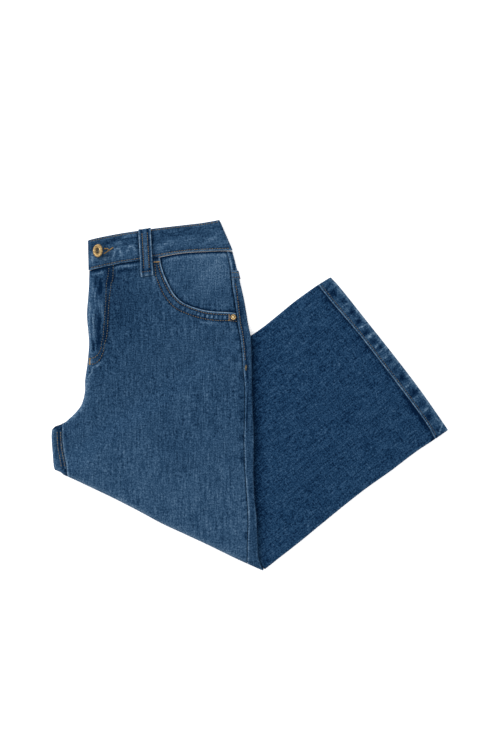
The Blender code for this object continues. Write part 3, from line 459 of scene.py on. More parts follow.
# Broad forms of the body and the lower leg: x, y, turn, length, width, height
BODY_SWELLS = (
    Swell(-168.0, 96.0, 78.0, 46.0, 9.0, -0.9),
    Swell(-186.0, 100.0, 82.0, 40.0, 6.0, 0.8),
    Swell(-120.0, 60.0, 12.0, 60.0, 13.0, 0.8),
    Swell(-90.0, 8.0, 18.0, 70.0, 12.0, -0.9),
    Swell(-150.0, -28.0, 32.0, 62.0, 12.0, 0.9),
    Swell(-60.0, -72.0, 24.0, 58.0, 14.0, 0.9),
    Swell(-110.0, -98.0, -10.0, 66.0, 12.0, -0.7),
    Swell(-40.0, -140.0, 70.0, 50.0, 14.0, -0.6),
)
LEG_SWELLS = (
    Swell(80.0, 60.0, 40.0, 60.0, 14.0, 0.7),
    Swell(90.0, -20.0, 36.0, 80.0, 16.0, -0.6),
    Swell(60.0, -120.0, 40.0, 70.0, 16.0, 0.6),
    Swell(165.0, -20.0, 42.0, 50.0, 14.0, 0.5),
)
# The body's creases from the waist down: the points of each, its half width and its height
BODY_CREASES = (
    Crease(((-197.0, 106.0), (-199.3, 82.0), (-197.7, 58.4)), 3.0, -0.8),
    Crease(((-204.5, 112.0), (-203.5, 96.0), (-204.5, 78.0)), 2.6, 0.6),
    Crease(((-200.0, 150.0), (-196.0, 134.0), (-196.5, 118.0)), 3.4, 0.5),
    Crease(((-205.0, 36.0), (-190.0, 30.0), (-172.0, 30.0)), 3.4, -0.5),
    Crease(((-209.0, 27.0), (-196.0, 20.0), (-180.0, 18.0)), 4.0, 0.5),
    Crease(((-214.0, 8.0), (-196.0, 2.0), (-168.0, 6.0)), 6.0, -0.5),
    Crease(((-170.0, 150.0), (-172.0, 120.0), (-168.0, 84.0)), 5.0, 0.35),
    Crease(((-150.0, 140.0), (-146.0, 104.0), (-150.0, 70.0)), 6.0, -0.4),
    Crease(((-190.0, 22.0), (-140.0, 44.0), (-86.0, 58.0)), 10.0, 0.5),
    Crease(((-196.0, -18.0), (-140.0, -4.0), (-66.0, 8.0)), 9.0, -0.5),
    Crease(((-226.0, -48.0), (-180.0, -44.0), (-120.0, -30.0)), 9.0, 0.5),
    Crease(((-228.0, -74.0), (-190.0, -78.0), (-140.0, -66.0)), 8.0, -0.45),
    Crease(((-120.0, -60.0), (-70.0, -50.0), (-22.0, -58.0)), 9.0, -0.45),
    Crease(((-150.0, -112.0), (-100.0, -118.0), (-40.0, -100.0)), 10.0, 0.4),
    Crease(((-90.0, -150.0), (-56.0, -150.0), (-20.0, -136.0)), 8.0, -0.35),
    Crease(((-14.0, -60.0), (-26.0, -98.0), (-22.0, -134.0)), 6.0, 0.35),
    Crease(((-30.0, 80.0), (-42.0, 60.0), (-64.0, 50.0)), 5.0, -0.35),
    Crease(((-14.0, 46.0), (-30.0, 30.0), (-52.0, 24.0)), 5.0, 0.3),
    Crease(((-228.0, -40.0), (-222.0, -60.0), (-224.0, -84.0)), 4.0, 0.4),
)
# Finer ones at the fly, the waist and the pocket, which also show as worn pale ridges, and as troughs painted
# dark with shade
WORN_AND_SHADED_CREASES = (
    Crease(((-204.0, 156.4), (-197.0, 158.5), (-188.5, 160.5)), 1.4, 0.5),
    Crease(((-205.5, 163.0), (-197.0, 164.6), (-187.5, 166.5)), 2.2, -0.5),
    Crease(((-204.0, 152.0), (-203.0, 140.0), (-205.0, 124.0)), 1.8, 0.3),
    Crease(((-199.5, 153.0), (-200.2, 146.0), (-199.0, 138.0)), 1.6, -0.35),
    Crease(((-194.5, 151.0), (-193.2, 142.0), (-194.5, 131.0)), 3.0, -0.6),
    Crease(((-200.0, 144.0), (-200.6, 126.0), (-199.6, 108.0)), 1.3, 0.34),
    Crease(((-197.0, 130.0), (-195.0, 120.0), (-195.5, 108.0)), 2.6, 0.25),
    Crease(((-190.2, 126.0), (-190.8, 110.0), (-190.0, 92.0)), 1.1, 0.45),
    Crease(((-206.0, 124.0), (-207.5, 100.0), (-206.5, 62.0)), 2.6, 0.45),
    Crease(((-201.5, 114.0), (-203.2, 92.0), (-201.0, 66.0)), 1.2, 0.6),
    Crease(((-205.0, 104.0), (-205.4, 90.0), (-204.4, 76.0)), 1.4, -0.35),
    Crease(((-195.4, 103.0), (-195.0, 84.0), (-197.6, 58.0)), 2.3, -0.9),
    Crease(((-191.0, 96.0), (-193.4, 84.0), (-195.6, 74.0)), 1.0, 0.5),
    Crease(((-205.4, 74.0), (-202.6, 64.0), (-204.0, 55.0)), 1.5, -0.7),
    Crease(((-199.8, 68.0), (-199.0, 60.0), (-201.0, 54.0)), 1.2, 0.4),
    Crease(((-208.6, 39.0), (-207.2, 33.0), (-208.4, 25.0)), 1.2, -0.8),
    Crease(((-209.6, 23.0), (-206.0, 29.0), (-203.4, 37.4)), 1.0, 0.6),
    Crease(((-203.4, 37.0), (-197.0, 38.6), (-190.6, 45.4)), 1.2, 0.45),
    Crease(((-188.4, 70.0), (-188.6, 62.0), (-190.4, 56.0)), 1.2, 0.4),
    Crease(((-181.0, 149.0), (-181.6, 136.0), (-181.0, 120.0)), 1.3, 0.3),
    Crease(((-183.0, 165.0), (-181.8, 152.0), (-184.0, 138.0)), 1.6, -0.5),
    Crease(((-188.0, 101.0), (-185.6, 98.0), (-181.6, 98.0)), 1.1, -0.35),
    Crease(((-189.0, 86.5), (-187.0, 83.0), (-183.0, 83.0)), 1.1, -0.35),
    Crease(((-190.6, 77.5), (-188.2, 74.0), (-184.0, 74.6)), 1.1, -0.35),
    Crease(((-177.6, 165.6), (-165.6, 167.6), (-146.0, 169.4)), 1.5, 0.5),
    Crease(((-176.4, 159.4), (-163.0, 162.4), (-145.0, 164.4)), 1.8, -0.55),
    Crease(((-177.4, 157.6), (-176.2, 152.0), (-178.4, 146.0)), 1.5, -0.5),
    Crease(((-119.4, 160.0), (-121.4, 152.0), (-119.6, 144.0)), 1.5, 0.3),
    Crease(((-123.8, 166.0), (-125.0, 156.0), (-123.0, 143.0)), 1.6, 0.3),
    Crease(((-66.0, 95.8), (-54.0, 94.2), (-40.0, 94.6)), 1.3, 0.3),
    Crease(((-16.6, 95.0), (-12.0, 90.0), (-10.0, 82.0)), 3.4, -0.45),
)
# The lower leg's, which run from its inseam towards its hem
LEG_CREASES = (
    Crease(((22.0, 60.0), (62.0, 84.0), (100.0, 118.0)), 9.0, 0.45),
    Crease(((24.0, 24.0), (70.0, 46.0), (128.0, 82.0)), 8.0, -0.45),
    Crease(((30.0, -24.0), (92.0, 10.0), (150.0, 40.0)), 10.0, 0.5),
    Crease(((26.0, -66.0), (80.0, -36.0), (160.0, 6.0)), 8.0, -0.5),
    Crease(((34.0, -110.0), (92.0, -74.0), (170.0, -30.0)), 10.0, 0.4),
    Crease(((36.0, -156.0), (84.0, -126.0), (150.0, -80.0)), 8.0, -0.45),
    Crease(((40.0, -188.0), (78.0, -160.0), (120.0, -126.0)), 7.0, 0.35),
    Crease(((150.0, -92.0), (190.0, -58.0), (214.0, -30.0)), 7.0, 0.35),
)


# ------------------------------------------------------------------ how the cloth lies


@dataclass
class Lie:
    """The folded pile: where its layers end, and how high its upper faces are.

    Attributes:
        denim: the thickness of one layer of cloth.
        gap: the clearance between pieces that touch.
        body_height: four layers of the hips and thighs.
        legs_height: four layers of the lower legs.
        hem_rise, hem_rise_length: how much thicker the legs are at their hems, and over what length.
        side_turn, side_reach: how far cloth turns down at a seamed edge, and how far in that starts.
        fold_reach, front_reach: the same reach at the thigh fold and at the centre front fold.
        edge_sink, edge_sink_width: how far the pile sinks towards its edges, and over what width.
        ramp_outside, ramp_inside: how far each side of the legs' hidden edge the body rises over them.
        unevenness: the heights of the cloth's small and of its broader unevenness.
    """

    denim: float = 1.2
    gap: float = 0.3
    body_height: float = 8.4
    legs_height: float = 7.6
    hem_rise: float = 1.7
    hem_rise_length: float = 26.0
    side_turn: float = 1.75
    side_reach: float = 2.8
    fold_reach: float = 8.6
    front_reach: float = 5.0
    edge_sink: float = 1.5
    edge_sink_width: float = 13.0
    ramp_outside: float = 20.0
    ramp_inside: float = 12.0
    unevenness: tuple[float, float] = (0.16, 0.2)
    left: Array = field(init=False)
    fold: Array = field(init=False)
    right: Array = field(init=False)
    inseam: Array = field(init=False)
    outseam: Array = field(init=False)
    hem: Array = field(init=False)
    waist: Array = field(init=False)
    pocket: Array = field(init=False)
    side_seam: Array = field(init=False)

    def __post_init__(self) -> None:
        """Works out the outlines as dense curves."""
        self.left = np.vstack([smooth(CENTRE_FRONT), smooth(CROTCH)[1:]])
        self.fold, self.right = smooth(THIGH_FOLD), smooth(BODY_SIDE)
        self.inseam, self.outseam, self.hem = smooth(LEG_INSEAM), smooth(LEG_OUTSEAM), smooth(HEM_SEAM)
        self.waist, self.pocket = smooth(WAIST_SEAM), smooth(POCKET_OPENING)
        self.side_seam = np.vstack([smooth(SIDE_SEAM_HIP), smooth(SIDE_SEAM_THIGH)[1:]])

    def over_legs(self, points: Array) -> Array:
        """How far each point is inside the hidden edge of the lower legs.

        Args:
            points: flat points, one row each.

        Returns:
            A distance for each point, negative outside.
        """
        start, end = np.array(LEG_LINE)
        run = unit(end - start)
        off = points - start
        return off[:, 1] * -run[0] + off[:, 0] * run[1]

    def body_level(self, points: Array) -> Array:
        """The body's upper face before its edges turn down.

        Four layers, eased up by four more where the lower legs lie below, less a bell curve beside
        each edge, plus the swells.

        Args:
            points: flat points, one row each.

        Returns:
            A height for each point.
        """
        ramp = ease(self.over_legs(points), -self.ramp_outside, self.ramp_inside)
        level = self.body_height + self.legs_height * ramp
        for edge in (self.left, self.right):
            level = level - self.edge_sink * bell(gap_to(points, edge), self.edge_sink_width)
        return level + relief_of(BODY_SWELLS, points)

    def rough(
        self, points: Array, broad: tuple[float, float], turns: tuple[float, float], seed: int,
    ) -> Array:
        """The cloth's own unevenness: small streaks along the warp, and broader ones.

        Args:
            points: flat points, one row each.
            broad: the size of the broader ones, across and along.
            turns: the directions of both, in degrees from +Y towards -X.
            seed: which set of levels.

        Returns:
            A height for each point.
        """
        small = self.unevenness[0] * cloudy(points, 9.0, 26.0, turns[0], seed)
        return small + self.unevenness[1] * cloudy(points, *broad, turns[1], seed + 1)

    def creased_body(self, points: Array) -> Array:
        """The body's level with its creases and its unevenness, quiet at the edges.

        Args:
            points: flat points, one row each.

        Returns:
            A height for each point.
        """
        edges = np.minimum(gap_to(points, self.fold), gap_to(points, self.right))
        relief = relief_of(BODY_CREASES, points) + self.rough(points, (26.0, 40.0), (0.0, 60.0), 11)
        return self.body_level(points) + relief * ease(edges, 1.0, 14.0)

    @staticmethod
    def turn_down(level: Array, off: Array, reach: Array | float, drop: Array | float) -> Array:
        """Cloth that turns down over an edge: a quarter ellipse, `reach` wide and `drop` high."""
        t = np.clip(off / reach, 0, 1)
        return level - drop * (1 - np.sqrt(1 - (1 - t) ** 2))

    @staticmethod
    def crotch_share(points: Array) -> Array:
        """0 beside the centre front fold, 1 beside the crotch."""
        return ease(-points[:, 1], 26.0, 40.0)

    def left_reach(self, share: Array) -> Array:
        """How far in the left edge starts to turn down, by its share of crotch."""
        return (1 - share) * self.front_reach + share * self.side_reach

    def body_face(self, points: Array) -> Array:
        """The body's upper face with its edges turned down: the lowest of three rounded edges.

        Args:
            points: flat points, one row each.

        Returns:
            A height for each point.
        """
        level = self.creased_body(points)
        share = self.crotch_share(points)
        drop = (1 - share) * level / 2 + share * self.side_turn
        front = self.turn_down(level, gap_to(points, self.left), self.left_reach(share), drop)
        side = self.turn_down(level, gap_to(points, self.right), self.side_reach, self.side_turn)
        fold = self.turn_down(level, gap_to(points, self.fold), self.fold_reach, level / 2)
        return np.minimum(np.minimum(front, side), fold)

    def leg_level(self, points: Array) -> Array:
        """The lower legs' upper face before its edges turn down: four layers, higher at the hems.

        Args:
            points: flat points, one row each.

        Returns:
            A height for each point.
        """
        at_hem = 1 - ease(gap_to(points, self.hem), 0, self.hem_rise_length)
        away = ease(gap_to(points, self.right), 8.0, 40.0)
        return self.legs_height + self.hem_rise * at_hem + away * relief_of(LEG_SWELLS, points)

    def leg_face(self, points: Array) -> Array:
        """The lower legs' upper face with its creases and with its edges turned down.

        Args:
            points: flat points, one row each.

        Returns:
            A height for each point.
        """
        gaps = gap_to(points, self.inseam), gap_to(points, self.outseam)
        inside = ease(np.minimum(*gaps), 1.0, 10.0) * ease(gap_to(points, self.right), 5.0, 20.0)
        inside = inside * ease(gap_to(points, self.hem), 0.0, 8.0)
        relief = relief_of(LEG_CREASES, points) + self.rough(points, (24.0, 46.0), (-52.0, -20.0), 21)
        level = self.leg_level(points)
        edges = [self.turn_down(level + relief * inside, gap, self.side_reach, level / 4) for gap in gaps]
        return np.minimum(*edges)

    def wrap_fold(self, grid: Array, turns: int = 9) -> Array:
        """Continues a grid round the thigh fold: a quarter turn from its outermost line to the floor.

        Args:
            grid: rows of points, of which the last lies along the fold.
            turns: how many rows are added.

        Returns:
            The longer grid.
        """
        last = grid[-1]
        start, end = along(self.fold, [0.1, 0.95])
        run = unit(end - start)
        inward = np.array([-run[1], run[0]])
        angles = np.linspace(0, math.pi / 2, turns + 1)[1:, None, None]
        flat = last[None, :, :2] + inward * self.fold_reach * (1 - np.cos(angles))
        height = last[None, :, 2:] * (1 - np.sin(angles))
        return np.vstack([grid, np.concatenate([flat, height], axis=2)])


def lowest_near(points: Array, height: Height, radius: float) -> Array:
    """The least of a height function at each point and at eight places round it.

    Args:
        points: flat points, one row each.
        height: gives heights from flat points.
        radius: how far round each point it looks.

    Returns:
        A height for each point.
    """
    lowest = height(points)
    for angle in np.linspace(0, 2 * math.pi, 8, endpoint=False):
        lowest = np.minimum(lowest, height(points + radius * np.array([math.cos(angle), math.sin(angle)])))
    return lowest


def blended(top: Array, foot: Array, left: Array, right: Array, down: Array, across: Array) -> Array:
    """Points between four edges: both pairs of edges blended, less the blend of their corners.

    Args:
        top, foot: the points of the upper and lower edges, at the shares across.
        left, right: the points of the other edges, at the shares down.
        down, across: rising shares from 0 to 1.

    Returns:
        A grid of flat points.
    """
    v, u = np.asarray(down, float)[:, None, None], np.asarray(across, float)[None, :, None]
    sides = (1 - u) * left[:, None] + u * right[:, None]
    corners = (1 - v) * ((1 - u) * top[0] + u * top[-1]) + v * ((1 - u) * foot[0] + u * foot[-1])
    return (1 - v) * top[None] + v * foot[None] + sides - corners


def patch(top: Array, foot: Array, left: Array, right: Array, down: Array, across: Array) -> Array:
    """A grid of flat points between four curves, at shares of their lengths down and across."""
    edges = along(top, across), along(foot, across), along(left, down), along(right, down)
    return blended(*edges, down, across)


def flattened(grid: Array) -> Array:
    """A grid's points seen from above, one row each."""
    return grid[..., :2].reshape(-1, 2)


def raised(points: Array, height: Height) -> Array:
    """A flat grid lifted to the height that a function gives."""
    flat = flattened(points)
    return np.concatenate([flat, height(flat)[:, None]], axis=1).reshape(points.shape[:-1] + (3,))


def moved_out(grid: Array, lift: float) -> Array:
    """A grid of outer points moved out along its own normals, the cross product of its two slopes."""
    normals = np.cross(np.gradient(grid, axis=0), np.gradient(grid, axis=1))
    return grid + unit(normals * np.sign(normals[..., 2:].sum())) * lift


def shares(length: float, pitch: float, start: Sequence[float] = (), end: Sequence[float] = ()) -> Array:
    """Shares of the way across a length: rows at set distances from its ends, even ones between.

    Args:
        length: the distance across.
        pitch: the spacing of the even rows.
        start: distances from the start, rising from 0.
        end: distances from the end, rising from 0.

    Returns:
        Rising shares from 0 to 1.
    """
    low = list(start) or [0.0]
    high = [length - distance for distance in reversed(list(end) or [0.0])]
    count = max(2, int((high[0] - low[-1]) / pitch))
    middle = np.linspace(low[-1], high[0], count)
    return np.concatenate([low[:-1], middle, high[1:]]) / length


# ------------------------------------------------------------------ finishes


def linear(hex_colour: str) -> tuple[float, float, float, float]:
    """A colour's linear values from its sRGB hex digits.

    Args:
        hex_colour: six digits.

    Returns:
        Red, green, blue and a full alpha.
    """
    values = [int(hex_colour[i : i + 2], 16) / 255 for i in (0, 2, 4)]
    red, green, blue = (v / 12.92 if v <= 0.04045 else ((v + 0.055) / 1.055) ** 2.4 for v in values)
    return red, green, blue, 1.0


def add_node(
    tree: bpy.types.NodeTree, kind: str, settings: dict[str, object] | None = None,
    inputs: dict[str | int, object] | None = None,
) -> bpy.types.Node:
    """Adds a node with its settings, and with its inputs set or linked.

    Args:
        tree: the tree that it joins.
        kind: the node's type.
        settings: its own properties.
        inputs: for each socket, a value, or the socket that is linked to it.

    Returns:
        The node.
    """
    node = tree.nodes.new(kind)
    for name, value in (settings or {}).items():
        setattr(node, name, value)
    for key, value in (inputs or {}).items():
        if isinstance(value, bpy.types.NodeSocket):
            tree.links.new(value, node.inputs[key])
        else:
            node.inputs[key].default_value = value
    return node


def math_node(tree: bpy.types.NodeTree, operation: str, *inputs: object) -> bpy.types.NodeSocket:
    """Adds a math node on those inputs, and gives its result."""
    return add_node(tree, "ShaderNodeMath", {"operation": operation}, dict(enumerate(inputs))).outputs[0]


def mark_node(tree: bpy.types.NodeTree, name: str) -> bpy.types.NodeSocket:
    """Adds a node that reads a piece's marks of that name."""
    return add_node(tree, "ShaderNodeAttribute", {"attribute_name": name}).outputs["Fac"]


def place_node(tree: bpy.types.NodeTree) -> bpy.types.NodeSocket:
    """Adds a node that gives the place on the object, in metres."""
    return add_node(tree, "ShaderNodeTexCoord").outputs["Object"]


def set_inputs(node: bpy.types.Node, values: dict[str, object]) -> None:
    """Sets inputs of a node to plain values."""
    for name, value in values.items():
        node.inputs[name].default_value = value


def empty_material(name: str) -> tuple[bpy.types.Material, bpy.types.NodeTree, bpy.types.Node]:
    """A material with its Principled shader already there.

    Args:
        name: its name.

    Returns:
        The material, its nodes and the shader.
    """
    made = bpy.data.materials.new(name)
    made.use_nodes = True
    return made, made.node_tree, made.node_tree.nodes["Principled BSDF"]


def mottled_material(
    name: str, size: float, detail: float, tones: Sequence[tuple[float, str]], values: dict[str, object],
) -> tuple[bpy.types.Material, bpy.types.NodeSocket]:
    """A material of two tones that are mixed by noise.

    Args:
        name: the material's name.
        size: the noise's size, in millimetres.
        detail: how much finer unevenness it has.
        tones: for each tone, the noise's value that it stands for and its colour.
        values: the shader's other inputs.

    Returns:
        The material, and the noise for what else follows it.
    """
    made, tree, shader = empty_material(name)
    noise = add_node(tree, "ShaderNodeTexNoise", inputs={
        "Vector": place_node(tree), "Scale": 1 / (size * MM), "Detail": detail,
    }).outputs["Fac"]
    ramp = add_node(tree, "ShaderNodeValToRGB", inputs={"Fac": noise})
    for stop, (position, colour) in zip(ramp.color_ramp.elements, tones):
        stop.position, stop.color = position, linear(colour)
    tree.links.new(ramp.outputs["Color"], shader.inputs["Base Color"])
    set_inputs(shader, values)
    return made, noise


@dataclass(frozen=True)
class Denim:
    """Stone-washed cotton denim: indigo warp over white weft in a 3/1 twill.

    The eye gets a matt blue, streaked along the warp by uneven yarns, speckled with the white weft,
    paler where it is worn and where a piece's marks paint a highlight, and darker where they paint
    shade beside seams, under edges and in hollows. The twill's own ribs are 0.6 mm apart, too fine
    for the render, so the speckle and the streaks are drawn 1 to 2 mm coarse.

    Attributes:
        name: the material's name.
        deep: the unworn indigo, towards which painted shade also darkens the cloth.
        base: the washed blue.
        pale: the lightest yarns of unworn cloth.
        worn: cloth that is worn down to the weft.
        turn: the warp's direction, in degrees from +Y towards -X.
        grain: the speckle's size.
        streak, slub, speckle, weft, cloud: how strong each unevenness is.
        top_tone: the tone at which the cloth is fully worn.
        pale_gain: how much "wear" adds to the tone, at the least and more where the speckle is pale.
    """

    name: str
    deep: str = "021830"
    base: str = "203a54"
    pale: str = "354f69"
    worn: str = "7b93a8"
    turn: float = 0.0
    grain: float = 1.5
    streak: float = 0.33
    slub: float = 0.11
    speckle: float = 0.64
    weft: float = 0.15
    cloud: float = 0.14
    top_tone: float = 1.5
    pale_gain: float = 1.2

    def make(self) -> bpy.types.Material:
        """Builds the material.

        The tone is 0.5 plus each noise's departure from 0.5 times its strength, plus "wear" times
        rubbing x (1 + speckle), less "shade". A ramp turns the tone to a colour.

        Returns:
            The material.
        """
        made, tree, shader = empty_material(self.name)
        turned = add_node(tree, "ShaderNodeMapping", inputs={
            "Vector": place_node(tree), "Rotation": (0.0, 0.0, math.radians(-self.turn)),
        }).outputs["Vector"]
        streak = self.noise(tree, turned, 1.5, 18.0, 0.0)
        speckle = self.noise(tree, turned, self.grain, 1.2 * self.grain, 0.0)
        tone = 0.5
        for noise, strength in (
            (streak, self.streak), (self.noise(tree, turned, 4.5, 70.0, 1.0), self.slub),
            (speckle, self.speckle), (self.noise(tree, turned, 11.0, 1.5, 0.0), self.weft),
            (self.noise(tree, turned, 32.0, 46.0, 3.0), self.cloud),
        ):
            tone = math_node(tree, "MULTIPLY_ADD", math_node(tree, "SUBTRACT", noise, 0.5), strength, tone)
        # The pieces' marks: paler where the cloth is worn and where a highlight is painted, darker where
        # shade is painted
        pale_gain = math_node(tree, "MULTIPLY_ADD", speckle, self.pale_gain, self.pale_gain)
        tone = math_node(tree, "ADD", tone, math_node(tree, "MULTIPLY", mark_node(tree, "wear_and_highlight"), pale_gain))
        tone = math_node(tree, "SUBTRACT", tone, mark_node(tree, "shade"))
        tone = math_node(tree, "DIVIDE", tone, self.top_tone)
        ramp = add_node(tree, "ShaderNodeValToRGB", inputs={"Fac": tone})
        stops = ramp.color_ramp.elements
        stops[0].position, stops[0].color = 0.2 / self.top_tone, linear(self.deep)
        stops[1].position, stops[1].color = 1.0, linear(self.worn)
        for level, colour in ((0.5, self.base), (0.7, self.pale)):
            stops.new(level / self.top_tone).color = linear(colour)
        tree.links.new(ramp.outputs["Color"], shader.inputs["Base Color"])
        bump = add_node(tree, "ShaderNodeBump", inputs={
            "Height": math_node(tree, "ADD", streak, speckle), "Strength": 0.2, "Distance": 0.5 * MM,
        })
        tree.links.new(bump.outputs["Normal"], shader.inputs["Normal"])
        set_inputs(shader, {
            "Roughness": 0.88, "Specular IOR Level": 0.03, "Sheen Weight": 0.01, "Sheen Roughness": 0.5,
        })
        return made

    @staticmethod
    def noise(
        tree: bpy.types.NodeTree, vector: bpy.types.NodeSocket, across: float, lengthwise: float,
        detail: float,
    ) -> bpy.types.NodeSocket:
        """Noise whose grains have set sizes across and along the warp.

        Args:
            tree: the material's nodes.
            vector: the place, turned to the warp.
            across, lengthwise: the sizes, in millimetres.
            detail: how much finer unevenness it has.

        Returns:
            The noise.
        """
        wide, long = 1 / (across * MM), 1 / (lengthwise * MM)
        scaled = add_node(tree, "ShaderNodeVectorMath", {"operation": "MULTIPLY"}, {
            0: vector, 1: (wide, long, wide),
        })
        return add_node(tree, "ShaderNodeTexNoise", inputs={
            "Vector": scaled.outputs[0], "Scale": 1.0, "Detail": detail, "Roughness": 0.55,
        }).outputs["Fac"]


@dataclass(frozen=True)
class Thread:
    """Spun polyester topstitching thread, matt with a slight gloss, dulled by the wash.

    Attributes:
        name: the material's name.
        colour: the thread's lighter tone.
        dark: its darker one, where it took up indigo.
    """

    name: str
    colour: str
    dark: str

    def make(self) -> bpy.types.Material:
        """Builds the material: two tones mixed by noise 3 mm in size, about a stitch long."""
        tones = ((0.35, self.dark), (0.65, self.colour))
        return mottled_material(self.name, 3.0, 1.0, tones, {"Roughness": 0.6, "Sheen Weight": 0.1})[0]


@dataclass(frozen=True)
class Brass:
    """Stamped brass in two tones mixed by noise; its darker and paler copies stand for tarnished hollows,
    painted shade at edges, and a painted highlight.

    Attributes:
        name: the material's name.
        bright, dull: its two tones.
        roughness: about how rough it is.
    """

    name: str
    bright: str
    dull: str
    roughness: float

    def make(self) -> bpy.types.Material:
        """Builds the material: two tones and a roughness that follow noise 1.5 mm in size.

        Returns:
            The material.
        """
        tones = ((0.35, self.dull), (0.6, self.bright))
        made, noise = mottled_material(self.name, 1.5, 3.0, tones, {"Metallic": 1.0})
        rough = add_node(made.node_tree, "ShaderNodeMapRange", inputs={
            "Value": noise, "From Min": 0.3, "From Max": 0.7,
            "To Min": self.roughness + 0.12, "To Max": self.roughness - 0.04,
        })
        shader = made.node_tree.nodes["Principled BSDF"]
        made.node_tree.links.new(rough.outputs["Result"], shader.inputs["Roughness"])
        return made


class Slot(Enum):
    """The record's material slots."""

    BODY = "denim_body"
    SEAM = "denim_seam"
    LEG = "denim_leg"
    BRASS = "brass"


@dataclass
class Finishes:
    """Every material, made once.

    Attributes:
        body, leg, band, hem: denim, whose warp runs as its piece lies and which is a little darker
        on the lower legs.
        thread, tacks, faded: thread as it is mostly, where it lies thick, and where the wash faded it.
        brass, patina_and_edge_shade, highlight_brass: metal as it is mostly; darker, tarnished in its stamped
        hollows and painted with shade at its edges; and pale, painted with a highlight on the rivet's middle.
    """

    body: bpy.types.Material = field(default_factory=Denim("washed_denim_body").make)
    leg: bpy.types.Material = field(default_factory=Denim(
        "washed_denim_leg", "01142d", "15314d", "25415d", "5f7890", turn=-52.0, grain=1.4,
        streak=0.4, slub=0.05, speckle=0.84, weft=0.26, cloud=0.06,
    ).make)
    band: bpy.types.Material = field(default_factory=Denim("washed_denim_band", turn=-82.0).make)
    hem: bpy.types.Material = field(default_factory=Denim(
        "washed_denim_hem", "02162f", "1a3550", "304a63", turn=-52.0,
    ).make)
    thread: bpy.types.Material = field(default_factory=Thread(
        "ochre_topstitch_thread", "6e603c", "403a2e",
    ).make)
    tacks: bpy.types.Material = field(default_factory=Thread(
        "bright_ochre_tack_thread", "9c7c40", "6c5630",
    ).make)
    faded: bpy.types.Material = field(default_factory=Thread(
        "faded_topstitch_thread", "5a5640", "343c42",
    ).make)
    brass: bpy.types.Material = field(default_factory=Brass("stamped_brass", "a88e62", "6c5636", 0.34).make)
    # Darker brass: tarnish in the stamped hollows, and painted shade at the edges
    patina_and_edge_shade: bpy.types.Material = field(default_factory=Brass(
        "tarnished_and_edge_shaded_brass", "5c564a", "2c2820", 0.5,
    ).make)
    # Pale brass: a painted highlight
    highlight_brass: bpy.types.Material = field(default_factory=Brass(
        "painted_highlight_brass", "e0cfa6", "b89e70", 0.45,
    ).make)


# ------------------------------------------------------------------ making pieces


def grid_faces(rows: int, columns: int, ring: bool = False, tube: bool = False) -> Array:
    """Four-sided faces between neighbouring rows and columns.

    Args:
        rows: the grid's rows.
        columns: its columns.
        ring: joins the last column to the first.
        tube: joins the last row to the first.

    Returns:
        One row of four point numbers for each face.
    """
    index = np.arange(rows * columns).reshape(rows, columns)
    if ring:
        index = np.hstack([index, index[:, :1]])
    if tube:
        index = np.vstack([index, index[:1]])
    corners = (index[:-1, :-1], index[:-1, 1:], index[1:, 1:], index[1:, :-1])
    return np.stack(corners, axis=2).reshape(-1, 4)


@dataclass
class Workroom:
    """Holds the form and the finishes, and makes pieces that ride on the part's body."""

    lie: Lie
    finishes: Finishes

    def piece(
        self, name: str, points: Array, faces: Array, finish: bpy.types.Material, slot: Slot | None = None,
        replaces: Sequence[str] = (), marks: dict[str, Array] | None = None,
    ) -> bpy.types.Object:
        """Makes a piece from points in millimetres and faces.

        Args:
            name: the piece's name.
            points: its points.
            faces: the point numbers of each face.
            finish: its material.
            slot: a material slot of the record; not used.
            replaces: the solids that it stands for.
            marks: values for its points, by attribute name.

        Returns:
            The piece's object, at the origin.
        """
        mesh = bpy.data.meshes.new(name)
        mesh.from_pydata((points.reshape(-1, 3) * MM).tolist(), [], faces.tolist())
        for attribute, values in (marks or {}).items():
            layer = mesh.attributes.new(attribute, "FLOAT", "POINT")
            layer.data.foreach_set("value", np.ascontiguousarray(values.ravel(), np.float32))
        mesh.shade_smooth()
        mesh.materials.append(finish)
        made = bpy.data.objects.new(name, mesh)
        bpy.context.scene.collection.objects.link(made)
        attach(made, "root")
        if replaces:
            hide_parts(*replaces)
        LOG.info("%s: %d faces", name, len(faces))
        return made

    def panel(
        self, name: str, grid: Array, finish: bpy.types.Material, slot: Slot, node: str,
        marks: dict[str, Array], flip: bool = True,
    ) -> bpy.types.Object:
        """Makes a wall of cloth from a grid of its outer points: an open surface with Solidify.

        Args:
            name: the piece's name.
            grid: its outer points.
            finish: its material.
            slot: a material slot of the record; not used, only passed on.
            node: the solid that it stands for.
            marks: values for its points, by attribute name.
            flip: whether the grid's own order faces down.

        Returns:
            The piece's object.
        """
        faces = grid_faces(*grid.shape[:2])
        made = self.piece(name, grid, faces[:, ::-1] if flip else faces, finish, slot, [node], marks)
        solidify = made.modifiers.new("wall", "SOLIDIFY")
        solidify.thickness = self.lie.denim * MM
        solidify.offset = -1.0
        solidify.use_even_offset = False
        return made


